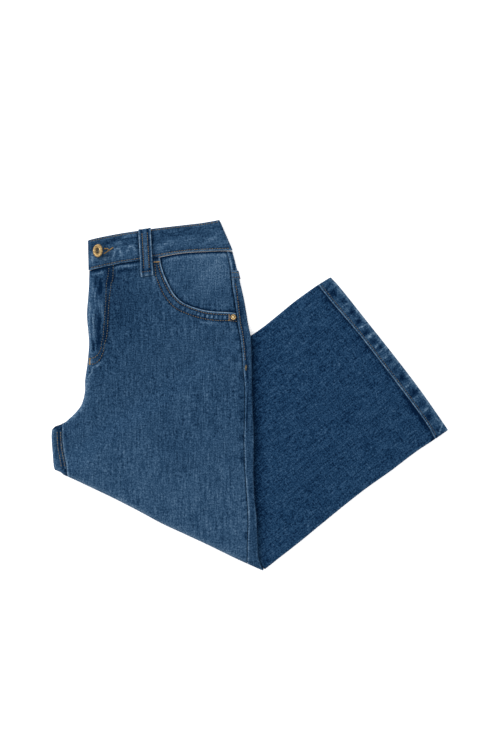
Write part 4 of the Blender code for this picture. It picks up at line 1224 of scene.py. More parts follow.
@dataclass(frozen=True)
class Stitches:
    """Rows of topstitching: each stitch is a small capsule that sinks into the cloth at both ends.

    Attributes:
        pitch: from one stitch to the next.
        length: of one stitch.
        radius: of the thread.
        sides, rings: how finely a stitch is made.
        sink: how far a stitch bows down at its ends, in radii.
        tack_pitch, tack_radius: the same for the threads of a bar tack.
        tack_jog: how far those are out of line, as a share of the tack's width.
    """

    pitch: float = 3.3
    length: float = 2.4
    radius: float = 0.45
    sides: int = 6
    rings: int = 5
    sink: float = 0.9
    tack_pitch: float = 0.62
    tack_radius: float = 0.38
    tack_jog: float = 0.16

    def capsules(self, middles: Array, aheads: Array, length: float, radius: float) -> tuple[Array, Array]:
        """Capsules at places, lying along directions.

        A capsule's point is middle + ahead x run + (side x cos + up x sin) x radius, where the
        radius follows half an ellipse along the run, and the whole bows down at its ends.

        Args:
            middles: the stitches' middles.
            aheads: their unit directions.
            length: of each.
            radius: of each at its middle.

        Returns:
            Points and four-sided faces.
        """
        across = unit(np.cross(np.tile([0.0, 0.0, 1.0], (len(middles), 1)), aheads))
        up = np.cross(aheads, across)
        run = np.linspace(-0.98, 0.98, self.rings)
        size = radius * np.sqrt(1 - run**2) ** 0.6
        turn = np.linspace(0, 2 * math.pi, self.sides, endpoint=False)
        points = middles[:, None, None] + aheads[:, None, None] * (run * length / 2)[None, :, None, None]
        around = across[:, None, None] * np.cos(turn)[None, None, :, None]
        around = around + up[:, None, None] * np.sin(turn)[None, None, :, None]
        points = points + around * size[None, :, None, None]
        points = points - up[:, None, None] * (self.sink * radius * run**2)[None, :, None, None]
        count = self.rings * self.sides
        first = np.arange(self.sides)
        one = [grid_faces(self.rings, self.sides, ring=True)]
        for index in (first[::-1], first + count - self.sides):
            one.append(index[np.array([[0, 1, 2, 3], [0, 3, 4, 5]])])
        faces = (np.arange(len(middles)) * count)[:, None, None] + np.vstack(one)[None]
        return points.reshape(-1, 3), faces.reshape(-1, 4)

    def row(self, curve: Array) -> tuple[Array, Array]:
        """A row of stitches along a curve in space.

        Args:
            curve: the line that the thread follows.

        Returns:
            Points and faces.
        """
        size = length_of(curve)
        at = np.arange(0.5 * self.pitch, size, self.pitch) / size
        step = self.length / 2 / size
        before, after = along(curve, np.clip(at - step, 0, 1)), along(curve, np.clip(at + step, 0, 1))
        return self.capsules(along(curve, at), unit(after - before), self.length, self.radius)

    def tack(self, start: Array, end: Array, width: float) -> tuple[Array, Array]:
        """A bar tack: threads laid close side by side across a line.

        Args:
            start, end: the line's ends.
            width: the length of each thread.

        Returns:
            Points and faces.
        """
        run = end - start
        size = float(np.linalg.norm(run))
        count = max(3, int(size / self.tack_pitch))
        ahead = unit(np.cross([0.0, 0.0, 1.0], run / size))
        jog = self.tack_jog * width * np.sin(np.arange(count) * 2.4)
        middles = start + run * np.linspace(0, 1, count)[:, None] + ahead * jog[:, None]
        return self.capsules(middles, np.tile(ahead, (count, 1)), width, self.tack_radius)


def joined(parts: Sequence[tuple[Array, Array]]) -> tuple[Array, Array]:
    """Several points-and-faces pairs as one.

    Args:
        parts: the pairs.

    Returns:
        All points, and all faces with their point numbers moved up.
    """
    firsts = np.cumsum([0] + [len(points) for points, _ in parts[:-1]])
    faces = [their + first for (_, their), first in zip(parts, firsts)]
    return np.vstack([points for points, _ in parts]), np.vstack(faces)


def on_face(line: Points | Array, height: Height, lift: float) -> Array:
    """A line laid on a face: its smooth curve, at the face's height plus a lift."""
    flat = smooth(line)
    return np.column_stack([flat, height(flat) + lift])


# ------------------------------------------------------------------ front panel and pocket

# How far from an edge, and from the thigh fold, a grid's closest rows are
EDGE_ROWS = (0.0, 0.25, 0.6, 1.1, 1.8)
FOLD_ROWS = (0.0, 0.6, 1.4, 2.4, 3.6, 5.0, 6.8)


@dataclass
class FrontPanel:
    """The wearer's left front panel: waist and pocket opening at the top, wrapped round the fold.

    Attributes:
        pitch: the grid's spacing.
        width, length: about how wide and long the panel is.
        corner: where the waist seam and the pocket's opening meet.
        pocket_edge_width: how wide the raised double-sewn pocket edge is.
        pocket_edge_rise: how much higher it is.
        fly_rise: how much the fly's inner layers lift the panel.
        pucker_pitch: from one pucker of the pocket edge to the next.
        pucker_height: how high they are.
        seam_dip, seam_dip_width: how deep and wide the dip under a row of sewing is.
    """

    room: Workroom
    pitch: float = 1.7
    width: float = 230.0
    length: float = 300.0
    corner: tuple[float, float] = (-117.0, 179.7)
    pocket_edge_width: float = 9.0
    pocket_edge_rise: float = 0.5
    fly_rise: float = 0.45
    pucker_pitch: float = 5.4
    pucker_height: float = 0.16
    seam_dip: float = 0.28
    seam_dip_width: float = 1.3

    def puckers(self, place: Array) -> Array:
        """The sewing's uneven puckers along the pocket edge: a sine that is shifted to and fro."""
        turns = 2 * math.pi * place / self.pucker_pitch + uneven(place, 0.0, 2.2, 13.0, 31)
        return np.sin(turns) * uneven(place, 0.75, 0.4, 9.0, 32)

    def height(self, points: Array) -> Array:
        """The panel's outer face: the body's, plus the pocket edge, the fly, and the sewing's dips.

        Args:
            points: flat points, one row each.

        Returns:
            A height for each point.
        """
        lie = self.room.lie
        pocket, fly = near(points, lie.pocket), near(points, smooth(FLY_ROWS[1]))
        width = self.pocket_edge_width
        face = lie.body_face(points) + self.pocket_edge_rise * (1 - ease(pocket.gap, width - 2, width + 3))
        face += pocket.band(self.pucker_height, 6.4, 2.8) * self.puckers(pocket.place)
        face += relief_of(WORN_AND_SHADED_CREASES, points)
        face += self.fly_rise * ease(-fly.signed, -1.2, 1.2) * ease(points[:, 1], 37.0, 42.0)
        for row, pitch in zip(FLY_ROWS + POCKET_ROWS, (5.0, 5.0, 3.6, 3.6)):
            beside = near(points, smooth(row))
            face -= beside.band(self.seam_dip, 0.0, self.seam_dip_width) * beside.uneven(1.0, 0.4, pitch, 33)
        return face

    def marks(self, points: Array) -> dict[str, Array]:
        """Where the panel is worn pale, where it is darker, and where shade is painted on it.

        Args:
            points: flat points, one row each.

        Returns:
            "wear" and "shade" for each point.
        """
        lie, page = self.room.lie, points[:, 1]
        pocket, fold, left, waist, seam, inseam = (near(points, curve) for curve in (
            lie.pocket, lie.fold, lie.left, lie.waist, lie.side_seam, smooth(FRONT_INSEAM),
        ))
        fly = [near(points, smooth(row)) for row in FLY_ROWS]
        rows = [near(points, smooth(row)) for row in POCKET_ROWS]
        creased, puckers = relief_of(WORN_AND_SHADED_CREASES, points), self.puckers(pocket.place)
        # The pocket's puckers show between its two rows, and most along the lower half of the opening, their
        # crests worn pale and their hollows painted with shade
        between = 2 * bell(rows[0].gap - rows[1].gap, 3.2) * bell(rows[0].gap + rows[1].gap - 7.6, 2.6)
        between *= 0.12 + 0.88 * ease(pocket.place, 50.0, 84.0)
        wear_and_highlight = 0.5 * np.clip(creased, 0, 1) + 0.2 * between * np.clip(puckers, 0, 1)
        # Pale rims: the opening, the thigh fold but for its tip, the left edge, and the inseam
        wear_and_highlight += pocket.band(0.42, 0.4, 1.2) * pocket.uneven(0.85, 0.2, 6.0, 41)
        tip = 1 - 0.6 * ease(fold.place, 245.0, 285.0)
        wear_and_highlight += fold.band(0.12, 2.2, 2.6) * tip * fold.uneven(0.85, 0.3, 9.0, 42)
        rim = left.band(0.14, 1.8, 3.4) * (1 - 0.6 * bell(page - 88.0, 30.0))
        rim += left.band(0.1, 5.5, 3.0) * bell(page - 36.0, 26.0)
        wear_and_highlight += rim * left.uneven(0.85, 0.3, 8.0, 47) * ease(page, -40.0, -30.0)
        wear_and_highlight += inseam.band(0.26, 0.9, 1.0) * inseam.uneven(0.8, 0.3, 6.0, 48)
        at_crotch = 0.07 + 0.12 * (1 - ease(page, -50.0, -42.0))
        wear_and_highlight += at_crotch * left.band(1.0, 1.2, 1.2) * left.uneven(0.6, 0.5, 8.0, 43)
        # Darker at the hip and lighter towards the fold; painted shade in the creases' troughs, under the
        # waistband, in the puckers' hollows, beside the fly, and under each row of sewing
        shade = 0.5 * np.clip(-creased, 0, 1) - 0.08 * ease(-page, 20.0, 140.0)
        shade += 0.1 * bell(points[:, 0] + 160.0, 42.0) * bell(page - 120.0, 55.0)
        shade += waist.band(0.5, 0.0, 2.4) + 0.2 * between * np.clip(-puckers, 0, 1)
        shade += 0.16 * bell(fly[0].signed - 3.6, 2.2) * ease(page, 44.0, 60.0)
        for beside, depth in zip(fly + rows, (0.2, 0.2, 0.4, 0.4)):
            shade += beside.band(depth, 0.0, self.seam_dip_width)
        # The side seam's painted shadow with its uneven dark spots, the painted shade of its puckers, and the
        # left edge's painted shade
        shade += (0.1 + 0.2 * ease(page, 50.0, 80.0)) * seam.band(1.0, 0.0, 1.2)
        spots = np.clip(waver(seam.place, 5.5, 46), 0.1, 1) - 0.1
        shade += seam.band(0.36, 3.0, 3.0) * spots
        shade += left.band(0.08, 0.0, 24.0) * ease(page, -20.0, 40.0)
        return {"wear_and_highlight": wear_and_highlight, "shade": shade}

    def flat(self) -> Array:
        """The panel's flat grid: a patch from the waist and the pocket's opening down to the fold.

        Returns:
            A grid of flat points.
        """
        lie = self.room.lie
        across = shares(self.width, self.pitch, (0.0, 0.25, 0.9, 1.8, 3.0, 4.4), (0.0, 0.7, 1.6, 2.8))
        rim = (0.0, 0.25, 0.7, 1.4, 2.4, 3.6, 5.0, 6.8)
        down = shares(self.length, self.pitch, (0.0, 0.6, 1.3, 2.2, 3.4), rim)
        waist = smooth(tuple(point for point in WAIST_SEAM if point[0] < self.corner[0] - 3) + (self.corner,))
        top = np.vstack([waist, lie.pocket[1:]])
        left = np.vstack([smooth(CENTRE_FRONT), smooth(FRONT_INSEAM)])
        right = smooth(SIDE_SEAM_THIGH) - [lie.gap / 2, 0]
        foot = along(lie.fold, np.linspace(share_at(lie.fold, left[-1]), share_at(lie.fold, right[-1]), 160))
        left[-1], right[-1] = foot[0], foot[-1]
        return patch(top, foot, left, right, down, across)

    def build(self) -> bpy.types.Object:
        """Builds the panel with its fold.

        Returns:
            The piece.
        """
        room = self.room
        grid = room.lie.wrap_fold(raised(self.flat(), self.height))
        marks = self.marks(flattened(grid))
        return room.panel("front_left_panel", grid, room.finishes.body, Slot.BODY, "front_left", marks)


@dataclass
class PocketFacing:
    """The hip panel inside the pocket opening, tucked in under the front panel.

    Attributes:
        underlap: how far it runs on under the front panel.
        clearance: how far below the front panel's inner face it lies there.
        lift: how far it rises again away from the opening.
        waist: its upper edge.
    """

    room: Workroom
    underlap: float = 5.0
    clearance: float = 0.1
    lift: float = 0.9
    waist: Points = ((-121.0, 178.6), (-87.1, 184.6), (-46.4, 187.0), (-29.9, 187.4))

    def under(self) -> Array:
        """Its edge under the front panel."""
        pocket = self.room.lie.pocket
        return pocket - self.underlap * sideways(pocket)

    def height(self, points: Array) -> Array:
        """The facing's face: the body's, set down by a layer and rising away from the opening.

        Args:
            points: flat points, one row each.

        Returns:
            A height for each point.
        """
        lie = self.room.lie
        tucked = lie.denim + lie.gap + self.clearance
        lift = self.lift * ease(gap_to(points, self.under()), self.underlap + 3, self.underlap + 22)
        return lie.body_face(points) - tucked + lift

    def marks(self, points: Array) -> dict[str, Array]:
        """Paler towards the hip; painted shadow under the opening and the waistband, painted shade beside the
        side seam, and uneven in tone.

        Args:
            points: flat points, one row each.

        Returns:
            "wear" and "shade" for each point.
        """
        lie = self.room.lie
        pocket, top = near(points, lie.pocket), near(points, lie.waist)
        side = near(points, smooth(SIDE_SEAM_HIP) - [lie.gap / 2, 0])
        wear_and_highlight = top.band(0.09, 5.4, 2.4) * ease(points[:, 0], -118.0, -100.0)
        wear_and_highlight += 0.08 * ease(points[:, 0], -92.0, -58.0) * ease(points[:, 1], 128.0, 160.0)
        # Painted shadow under the opening's edge and the waistband, painted shade beside the side seam, and
        # an uneven tone
        shade = (0.4 + 0.2 * ease(pocket.place, 55.0, 90.0)) * pocket.band(1.0, 0.0, 2.2)
        shade += top.band(0.7, 1.2, 1.7) + side.band(0.3, 0.0, 1.4)
        shade += 0.06 * cloudy(points, 9.0, 26.0, -40.0, 48)
        return {"wear_and_highlight": wear_and_highlight, "shade": shade}

    def build(self) -> bpy.types.Object:
        """Builds the facing: a patch between the waist, the opening and the side seam.

        Returns:
            The piece.
        """
        room, under, waist = self.room, self.under(), smooth(self.waist)
        seam = smooth(SIDE_SEAM_HIP) - [room.lie.gap / 2, 0]
        under[0] = waist[0]
        foot, left = along(under, np.linspace(0.45, 1, 60)), along(under, np.linspace(0, 0.45, 60))
        right = np.vstack([seam[seam[:, 1] > foot[-1, 1] + 1], foot[-1:]])
        flat = patch(waist, foot, left, right, np.linspace(0, 1, 56), np.linspace(0, 1, 62))
        grid, marks = raised(flat, self.height), self.marks(flattened(flat))
        return room.panel("pocket_facing", grid, room.finishes.body, Slot.BODY, "pocket_facing_left", marks)


# ------------------------------------------------------------------ strips of the back


def clip_height(curve: Array, high: float, low: float) -> Array:
    """The stretch of a curve that is walked down the page, between two heights.

    Args:
        curve: the curve's points.
        high, low: where the stretch starts and ends, up the page.

    Returns:
        Its points.
    """
    y = curve[:, 1]
    ends = [[np.interp(-level, -y, curve[:, 0]), level] for level in (high, low)]
    inner = curve[(y < high - 0.5) & (y > low + 0.5)]
    return np.vstack([ends[:1], inner, ends[1:]])


@dataclass
class BackStrips:
    """The yoke, its felled seam and the back panel, which come round from behind the side seam.

    Attributes:
        width: the strip's width beside the side seam.
        top, foot: how far up the page the strips start and end.
        yoke_seam: how far up the page the yoke ends.
        band_top, band_foot: the felled seam's edges.
        band_rise, band_dip: how much thicker that seam is, and the dip under each of its rows.
        seam_gap: from the front panel to the strip.
    """

    room: Workroom
    width: float = 13.0
    top: float = 187.4
    foot: float = -218.4
    yoke_seam: float = 156.5
    band_top: float = 162.0
    band_foot: float = 151.0
    band_rise: float = 0.25
    band_dip: float = 0.2
    seam_gap: float = 0.55

    def across(self) -> Array:
        """Shares across a strip, close together at both edges."""
        return shares(self.width, 1.0, (0.0, 0.5, 1.2), EDGE_ROWS)

    def strip(self, high: float, low: float, rows: int) -> Array:
        """A flat patch from the side seam to the body's right edge.

        Args:
            high, low: where it starts and ends, up the page.
            rows: how many rows it has.

        Returns:
            A grid of flat points.
        """
        lie = self.room.lie
        left = clip_height(lie.side_seam, high, low) + [lie.gap / 2, 0]
        right = clip_height(lie.right[::-1], high, low)
        top, foot = np.linspace(left[0], right[0], 8), np.linspace(left[-1], right[-1], 8)
        return patch(top, foot, left, right, np.linspace(0, 1, rows), self.across())

    def marks(self, points: Array) -> dict[str, Array]:
        """A worn pale ridge beside the side seam and along the outer edge, paler on the yoke, with painted
        shade in the seam, in bands beside it, towards the outer edge and under the waistband.

        Args:
            points: flat points, one row each.

        Returns:
            "wear" and "shade" for each point.
        """
        lie, page = self.room.lie, points[:, 1]
        curves = (lie.side_seam, lie.right, lie.fold, lie.waist)
        seam, edge, fold, waist = (near(points, curve) for curve in curves)
        wear_and_highlight = seam.band(0.3, 1.7, 1.0) * seam.uneven(0.75, 0.35, 6.0, 51)
        wear_and_highlight *= 1 - 0.4 * ease(page, -50.0, -35.0)
        wear_and_highlight += 0.1 * ease(page, 128.0, 142.0) + fold.band(0.06, 0.0, 1.6)
        wear_and_highlight += edge.band(0.08, 1.0, 1.5) * edge.uneven(0.6, 0.5, 9.0, 52)
        # Painted shade in the seam, towards the outer edge, under the waistband and in bands beside the seam
        shade = seam.band(0.12, 0.2, 0.6) + edge.band(0.08, 0.0, 5.0) + waist.band(0.3, 0.0, 3.0)
        shade += seam.band(0.3, 5.2, 1.6) * ease(page, 10.0, 30.0)
        shade += seam.band(0.36, 3.4, 1.1) * bell(page + 22.0, 24.0) + seam.band(0.06, 4.0, 1.4)
        return {"wear_and_highlight": wear_and_highlight, "shade": shade}

    def made(self, name: str, grid: Array, node: str) -> bpy.types.Object:
        """Makes one strip from its outer points."""
        marks = self.marks(flattened(grid))
        return self.room.panel(name, grid, self.room.finishes.body, Slot.BODY, node, marks)

    def build_yoke(self) -> bpy.types.Object:
        """Builds the yoke's strip."""
        flat = self.strip(self.top, self.yoke_seam + self.room.lie.gap / 2, 26)
        return self.made("yoke_strip", raised(flat, self.room.lie.body_face), "yoke_left")

    def band_grid(self) -> Array:
        """The felled yoke seam's outer points: over the strip, thickest between its edges.

        Returns:
            A grid of points.
        """
        lie = self.room.lie
        flat = self.strip(self.band_top, self.band_foot, 14)
        grid = moved_out(raised(flat, lie.body_face), lie.denim + lie.gap)
        share = np.linspace(-1, 1, len(grid))[:, None]
        grid[..., 2] += self.band_rise * (1 - share**6) - self.band_dip * bell(np.abs(share) - 0.6, 0.2)
        return grid

    def build_band(self) -> bpy.types.Object:
        """Builds the felled yoke seam, worn pale along its edges, with painted shade in the dips under its
        rows.

        Returns:
            The piece.
        """
        room, grid = self.room, self.band_grid()
        share = np.abs(np.linspace(-1, 1, len(grid)))[:, None] * np.ones(grid.shape[1])
        # Pale worn edges; painted shade in the dips under the rows
        marks = {"wear_and_highlight": 0.1 + 0.2 * ease(share, 0.8, 1.0), "shade": 0.25 * bell(share - 0.6, 0.15)}
        return room.panel("yoke_seam_band", grid, room.finishes.body, Slot.SEAM, "yoke_seam_left", marks)

    def build_back(self) -> bpy.types.Object:
        """Builds the back panel's long strip with its part of the fold.

        Returns:
            The piece.
        """
        lie = self.room.lie
        high = self.yoke_seam - lie.gap / 2
        join = SIDE_SEAM_THIGH[0][1]
        hip = clip_height(smooth(SIDE_SEAM_HIP), high, join + 0.4)
        thigh = clip_height(smooth(SIDE_SEAM_THIGH), join - 0.6, self.foot)
        left = np.vstack([hip, thigh]) + [self.seam_gap, 0]
        right = clip_height(lie.right[::-1], high, BODY_SIDE[0][1])
        start = share_at(lie.fold, left[-1]) + lie.gap / length_of(lie.fold)
        foot = along(lie.fold, np.linspace(start, 1, 24))
        left[-1], right[-1] = foot[0], foot[-1]
        down = shares(length_of(right), 1.8, (0.0, 1.0), FOLD_ROWS)
        flat = patch(np.linspace(left[0], right[0], 8), foot, left, right, down, self.across())
        return self.made("back_left_strip", lie.wrap_fold(raised(flat, lie.body_face)), "back_left")


@dataclass
class CrotchStrips:
    """The back panel beyond the inseam at the crotch, and the felled inseam on it.

    Attributes:
        width, length: the strip's size.
        seam_width: the felled seam's.
        seam_gap: from the front panel to the strip.
        row_share: how far across the felled seam its rows of sewing are, from either edge.
        row_dip: how deep the dip under each is.
    """

    room: Workroom
    width: float = 13.0
    length: float = 62.0
    seam_width: float = 6.2
    seam_gap: float = 0.55
    row_share: float = 0.16
    row_dip: float = 0.22

    def edges(self) -> tuple[Array, Array, Array, Array]:
        """The strip's edges.

        Returns:
            Its top, foot, left and right edges.
        """
        lie = self.room.lie
        right = smooth(CROTCH_STRIP_TOP[-1:] + FRONT_INSEAM[1:]) - [self.seam_gap, 0]
        left = smooth(CROTCH_STRIP_TOP[:1] + CROTCH[3:])
        end = share_at(lie.fold, right[-1]) - lie.gap / length_of(lie.fold)
        foot = along(lie.fold, np.linspace(0, end, 24))
        right[-1] = foot[-1]
        return np.linspace(left[0], right[0], 8), foot, left, right

    def seam_grid(self) -> Array:
        """The felled seam's outer points, with a dip under each row of sewing.

        Returns:
            A grid of points.
        """
        lie = self.room.lie
        right = along(self.edges()[3] - [lie.gap, 0], np.linspace(0.08, 0.84, 60))
        left = right - [self.seam_width, 0]
        ends = [np.linspace(left[i], right[i], 6) for i in (0, -1)]
        across = np.linspace(0, 1, 15)
        flat = patch(*ends, left, right, np.linspace(0, 1, 46), across)
        grid = moved_out(raised(flat, lie.body_face), lie.denim + lie.gap + 0.1)
        rows = (self.row_share, 1 - self.row_share)
        grid[..., 2] -= self.row_dip * sum(bell(across - share, 0.1) for share in rows)
        return grid

    def build(self) -> bpy.types.Object:
        """Builds the strip, worn pale along its outer edge and the fold, with painted shadow beside the
        felled seam.

        Returns:
            The piece.
        """
        room, lie, edges = self.room, self.room.lie, self.edges()
        down = shares(self.length, 1.4, (0.0, 0.8), FOLD_ROWS)
        across = shares(self.width, 0.9, EDGE_ROWS, (0.0, 0.7))
        grid = lie.wrap_fold(raised(patch(*edges, down, across), lie.body_face))
        left, fold, right = (near(flattened(grid), curve) for curve in (lie.left, lie.fold, edges[3]))
        wear_and_highlight = left.band(0.1, 1.4, 1.8) + fold.band(0.1, 2.0, 2.4)
        # Painted shadow beside the felled seam
        marks = {"wear_and_highlight": wear_and_highlight, "shade": right.band(0.3, 0.0, 5.5)}
        return room.panel("crotch_back_strip", grid, room.finishes.body, Slot.BODY, "back_left_crotch", marks)

    def build_seam(self) -> bpy.types.Object:
        """Builds the felled seam, pale along its edges and dark between its rows.

        Returns:
            The piece.
        """
        room, grid = self.room, self.seam_grid()
        rows, columns = grid.shape[:2]
        share = np.linspace(-1, 1, columns)[None, :] * np.ones((rows, 1))
        place = np.linspace(0, 60, rows)[:, None] * np.ones(columns)
        wear_and_highlight = 0.14 * ease(np.abs(share), 0.8, 1.0) * uneven(place, 0.8, 0.3, 5.0, 61)
        marks = {"wear_and_highlight": wear_and_highlight, "shade": 0.3 * bell(share, 0.5)}
        return room.panel("inseam_band", grid, room.finishes.body, Slot.SEAM, "inseam_left", marks)


# ------------------------------------------------------------------ lower leg


@dataclass
class LegPanel:
    """The right front panel's lower leg, which runs out from under the body to its hem.

    Attributes:
        pitch: the grid's spacing.
        width: about how wide and long the leg is.
        under_body: how far it runs on under the body.
        start_span: the stretch up the page in which it comes out straight from there.
    """

    room: Workroom
    pitch: float = 1.8
    width: float = 260.0
    under_body: float = 12.0
    start_span: tuple[float, float] = (-190.0, 66.0)

    def marks(self, points: Array) -> dict[str, Array]:
        """Paler along the worn seams, with the shadows of the body and of the hem painted beside them.

        Args:
            points: flat points, one row each.

        Returns:
            "wear" and "shade" for each point.
        """
        lie = self.room.lie
        right, hem = near(points, lie.right), near(points, lie.hem)
        edges = np.minimum(gap_to(points, lie.inseam), gap_to(points, lie.outseam))
        # The body's painted shadow, fading towards its tip, and the hem's painted shadow, uneven and deepest
        # towards its lower end
        shade = right.band(0.22, 0.0, 12.0) + right.band(0.02, 0.0, 3.4)
        shade *= 1 - 0.9 * ease(-points[:, 1], 150.0, 205.0)
        shade += hem.band(0.2, 1.0, 2.0) + hem.band(0.03, 0.0, 14.0)
        shade += hem.band(0.2, 4.0, 3.4) * np.clip(waver(hem.place, 8.0, 72), 0, 1)
        shade += hem.band(0.3, 2.4, 2.4) * bell(hem.place - 205.0, 26.0)
        return {"wear_and_highlight": 0.06 * bell(edges - 0.8, 1.6), "shade": shade}

    def build(self) -> bpy.types.Object:
        """Builds the panel: a patch from under the body to the hem seam.

        Returns:
            The piece.
        """
        room, lie = self.room, self.room.lie
        edge = lie.right[::-1] - [self.under_body, 0]
        low, high = self.start_span
        edge = edge[(edge[:, 1] < high) & (edge[:, 1] > low)]
        start = np.vstack([lie.inseam[:1], edge, LEG_START_TIP, lie.outseam[:1]])
        across = shares(self.width, self.pitch, EDGE_ROWS + (2.8,), EDGE_ROWS + (2.8,))
        down = shares(self.width, self.pitch, (0.0,), (0.0, 0.8, 1.6, 2.4, 3.3, 4.4, 5.6))
        grid = raised(patch(start, lie.hem, lie.inseam, lie.outseam, down, across), lie.leg_face)
        marks, finish = self.marks(flattened(grid)), room.finishes.leg
        return room.panel("front_right_leg", grid, finish, Slot.LEG, "front_right", marks, flip=False)


# ------------------------------------------------------------------ bands of turned cloth


def half_turn(centre: float, height: float, radius: float, side: int, rise: int, count: int = 9) -> Array:
    """Points round a half circle of a path.

    Args:
        centre, height: its middle.
        radius: its radius.
        side: 1 if it bulges along the band, -1 if against it.
        rise: 1 if it is walked up, -1 if down.
        count: how many points it has.

    Returns:
        Runs and heights.
    """
    angles = np.radians(np.linspace(-90, 90, count))
    points = [centre + side * radius * np.cos(angles), height + rise * radius * np.sin(angles)]
    return np.stack(points, axis=1)


def straight(start: float, end: float, height: float, pitch: float) -> Array:
    """Runs and heights along a level stretch of a path, about `pitch` apart."""
    count = max(3, int(abs(end - start) / pitch))
    return np.stack([np.linspace(start, end, count), np.full(count, height)], axis=1)


@dataclass(frozen=True)
class TurnedEdge:
    """The cross-section of a band of turned cloth: flat faces between two rounded edges.

    Attributes:
        width: across the band.
        thick: its thickness.
        pitch: the spacing of points across its faces.
    """

    width: float
    thick: float
    pitch: float = 1.8

    def outline(self) -> tuple[Array, Array]:
        """The cross-section, walked once round: face, edge, back, edge.

        Returns:
            Shares across the band, and heights.
        """
        half = self.thick / 2
        flat = np.linspace(half, self.width - half, max(4, int((self.width - self.thick) / self.pitch)))
        turn = np.linspace(90, -90, 7)[1:-1] * math.pi / 180
        out, level = half * np.cos(turn), np.full(len(flat), half)
        across = np.concatenate([flat, self.width - half + out, flat[::-1], half - out])
        heights = np.concatenate([level, half * np.sin(turn), -level, -half * np.sin(turn)])
        return across / self.width, heights


@dataclass
class TurnedBand:
    """A ring of turned cloth that is laid flat: its cross-section is carried along a closed path.

    A path's point has a run along the band and a height. The cross-section stands square to the
    path: run and height move along the path's normal by the cross-section's height, and the
    result is placed between the band's lower and upper edges by its share across.

    Attributes:
        path: the ring's path.
        foot, top: the band's lower and upper edges, seen from above.
        wide: how far the runs reach.
        base: how high the ring lies.
    """

    path: Array
    foot: Array
    top: Array
    wide: float
    base: float = 0.0

    def flat(self, run: Array, across: Array) -> Array:
        """Places, seen from above, at runs along the band and shares across it."""
        share, mix = (run / self.wide).ravel(), across.reshape(-1, 1)
        return (1 - mix) * extend(self.foot, share) + mix * extend(self.top, share)

    def grid(self, section: TurnedEdge, lift: Callable[[Array, Array, Array], Array]) -> Array:
        """The band's points.

        Args:
            section: its cross-section.
            lift: gives extra thickness from runs, shares across, and whether the upper layer's
                outer face is there, each as a table of path points by section points.

        Returns:
            A grid of points, closed both ways.
        """
        across, heights = section.outline()
        closed = np.vstack([self.path[-1:], self.path, self.path[:1]])
        ahead = unit(closed[2:] - closed[:-2])
        run, level = (self.path[:, column][:, None] * np.ones(len(across)) for column in (0, 1))
        upper = (level >= self.path[:, 1].max() - 0.3) & (heights[None] > 0)
        across = across[None] * np.ones(run.shape)
        out = heights[None] + lift(run, across, upper.astype(float))
        flat = self.flat(run - ahead[:, 1:] * out, across)
        level = level + ahead[:, :1] * out
        return np.column_stack([flat, level.ravel() + self.base]).reshape(run.shape + (3,))


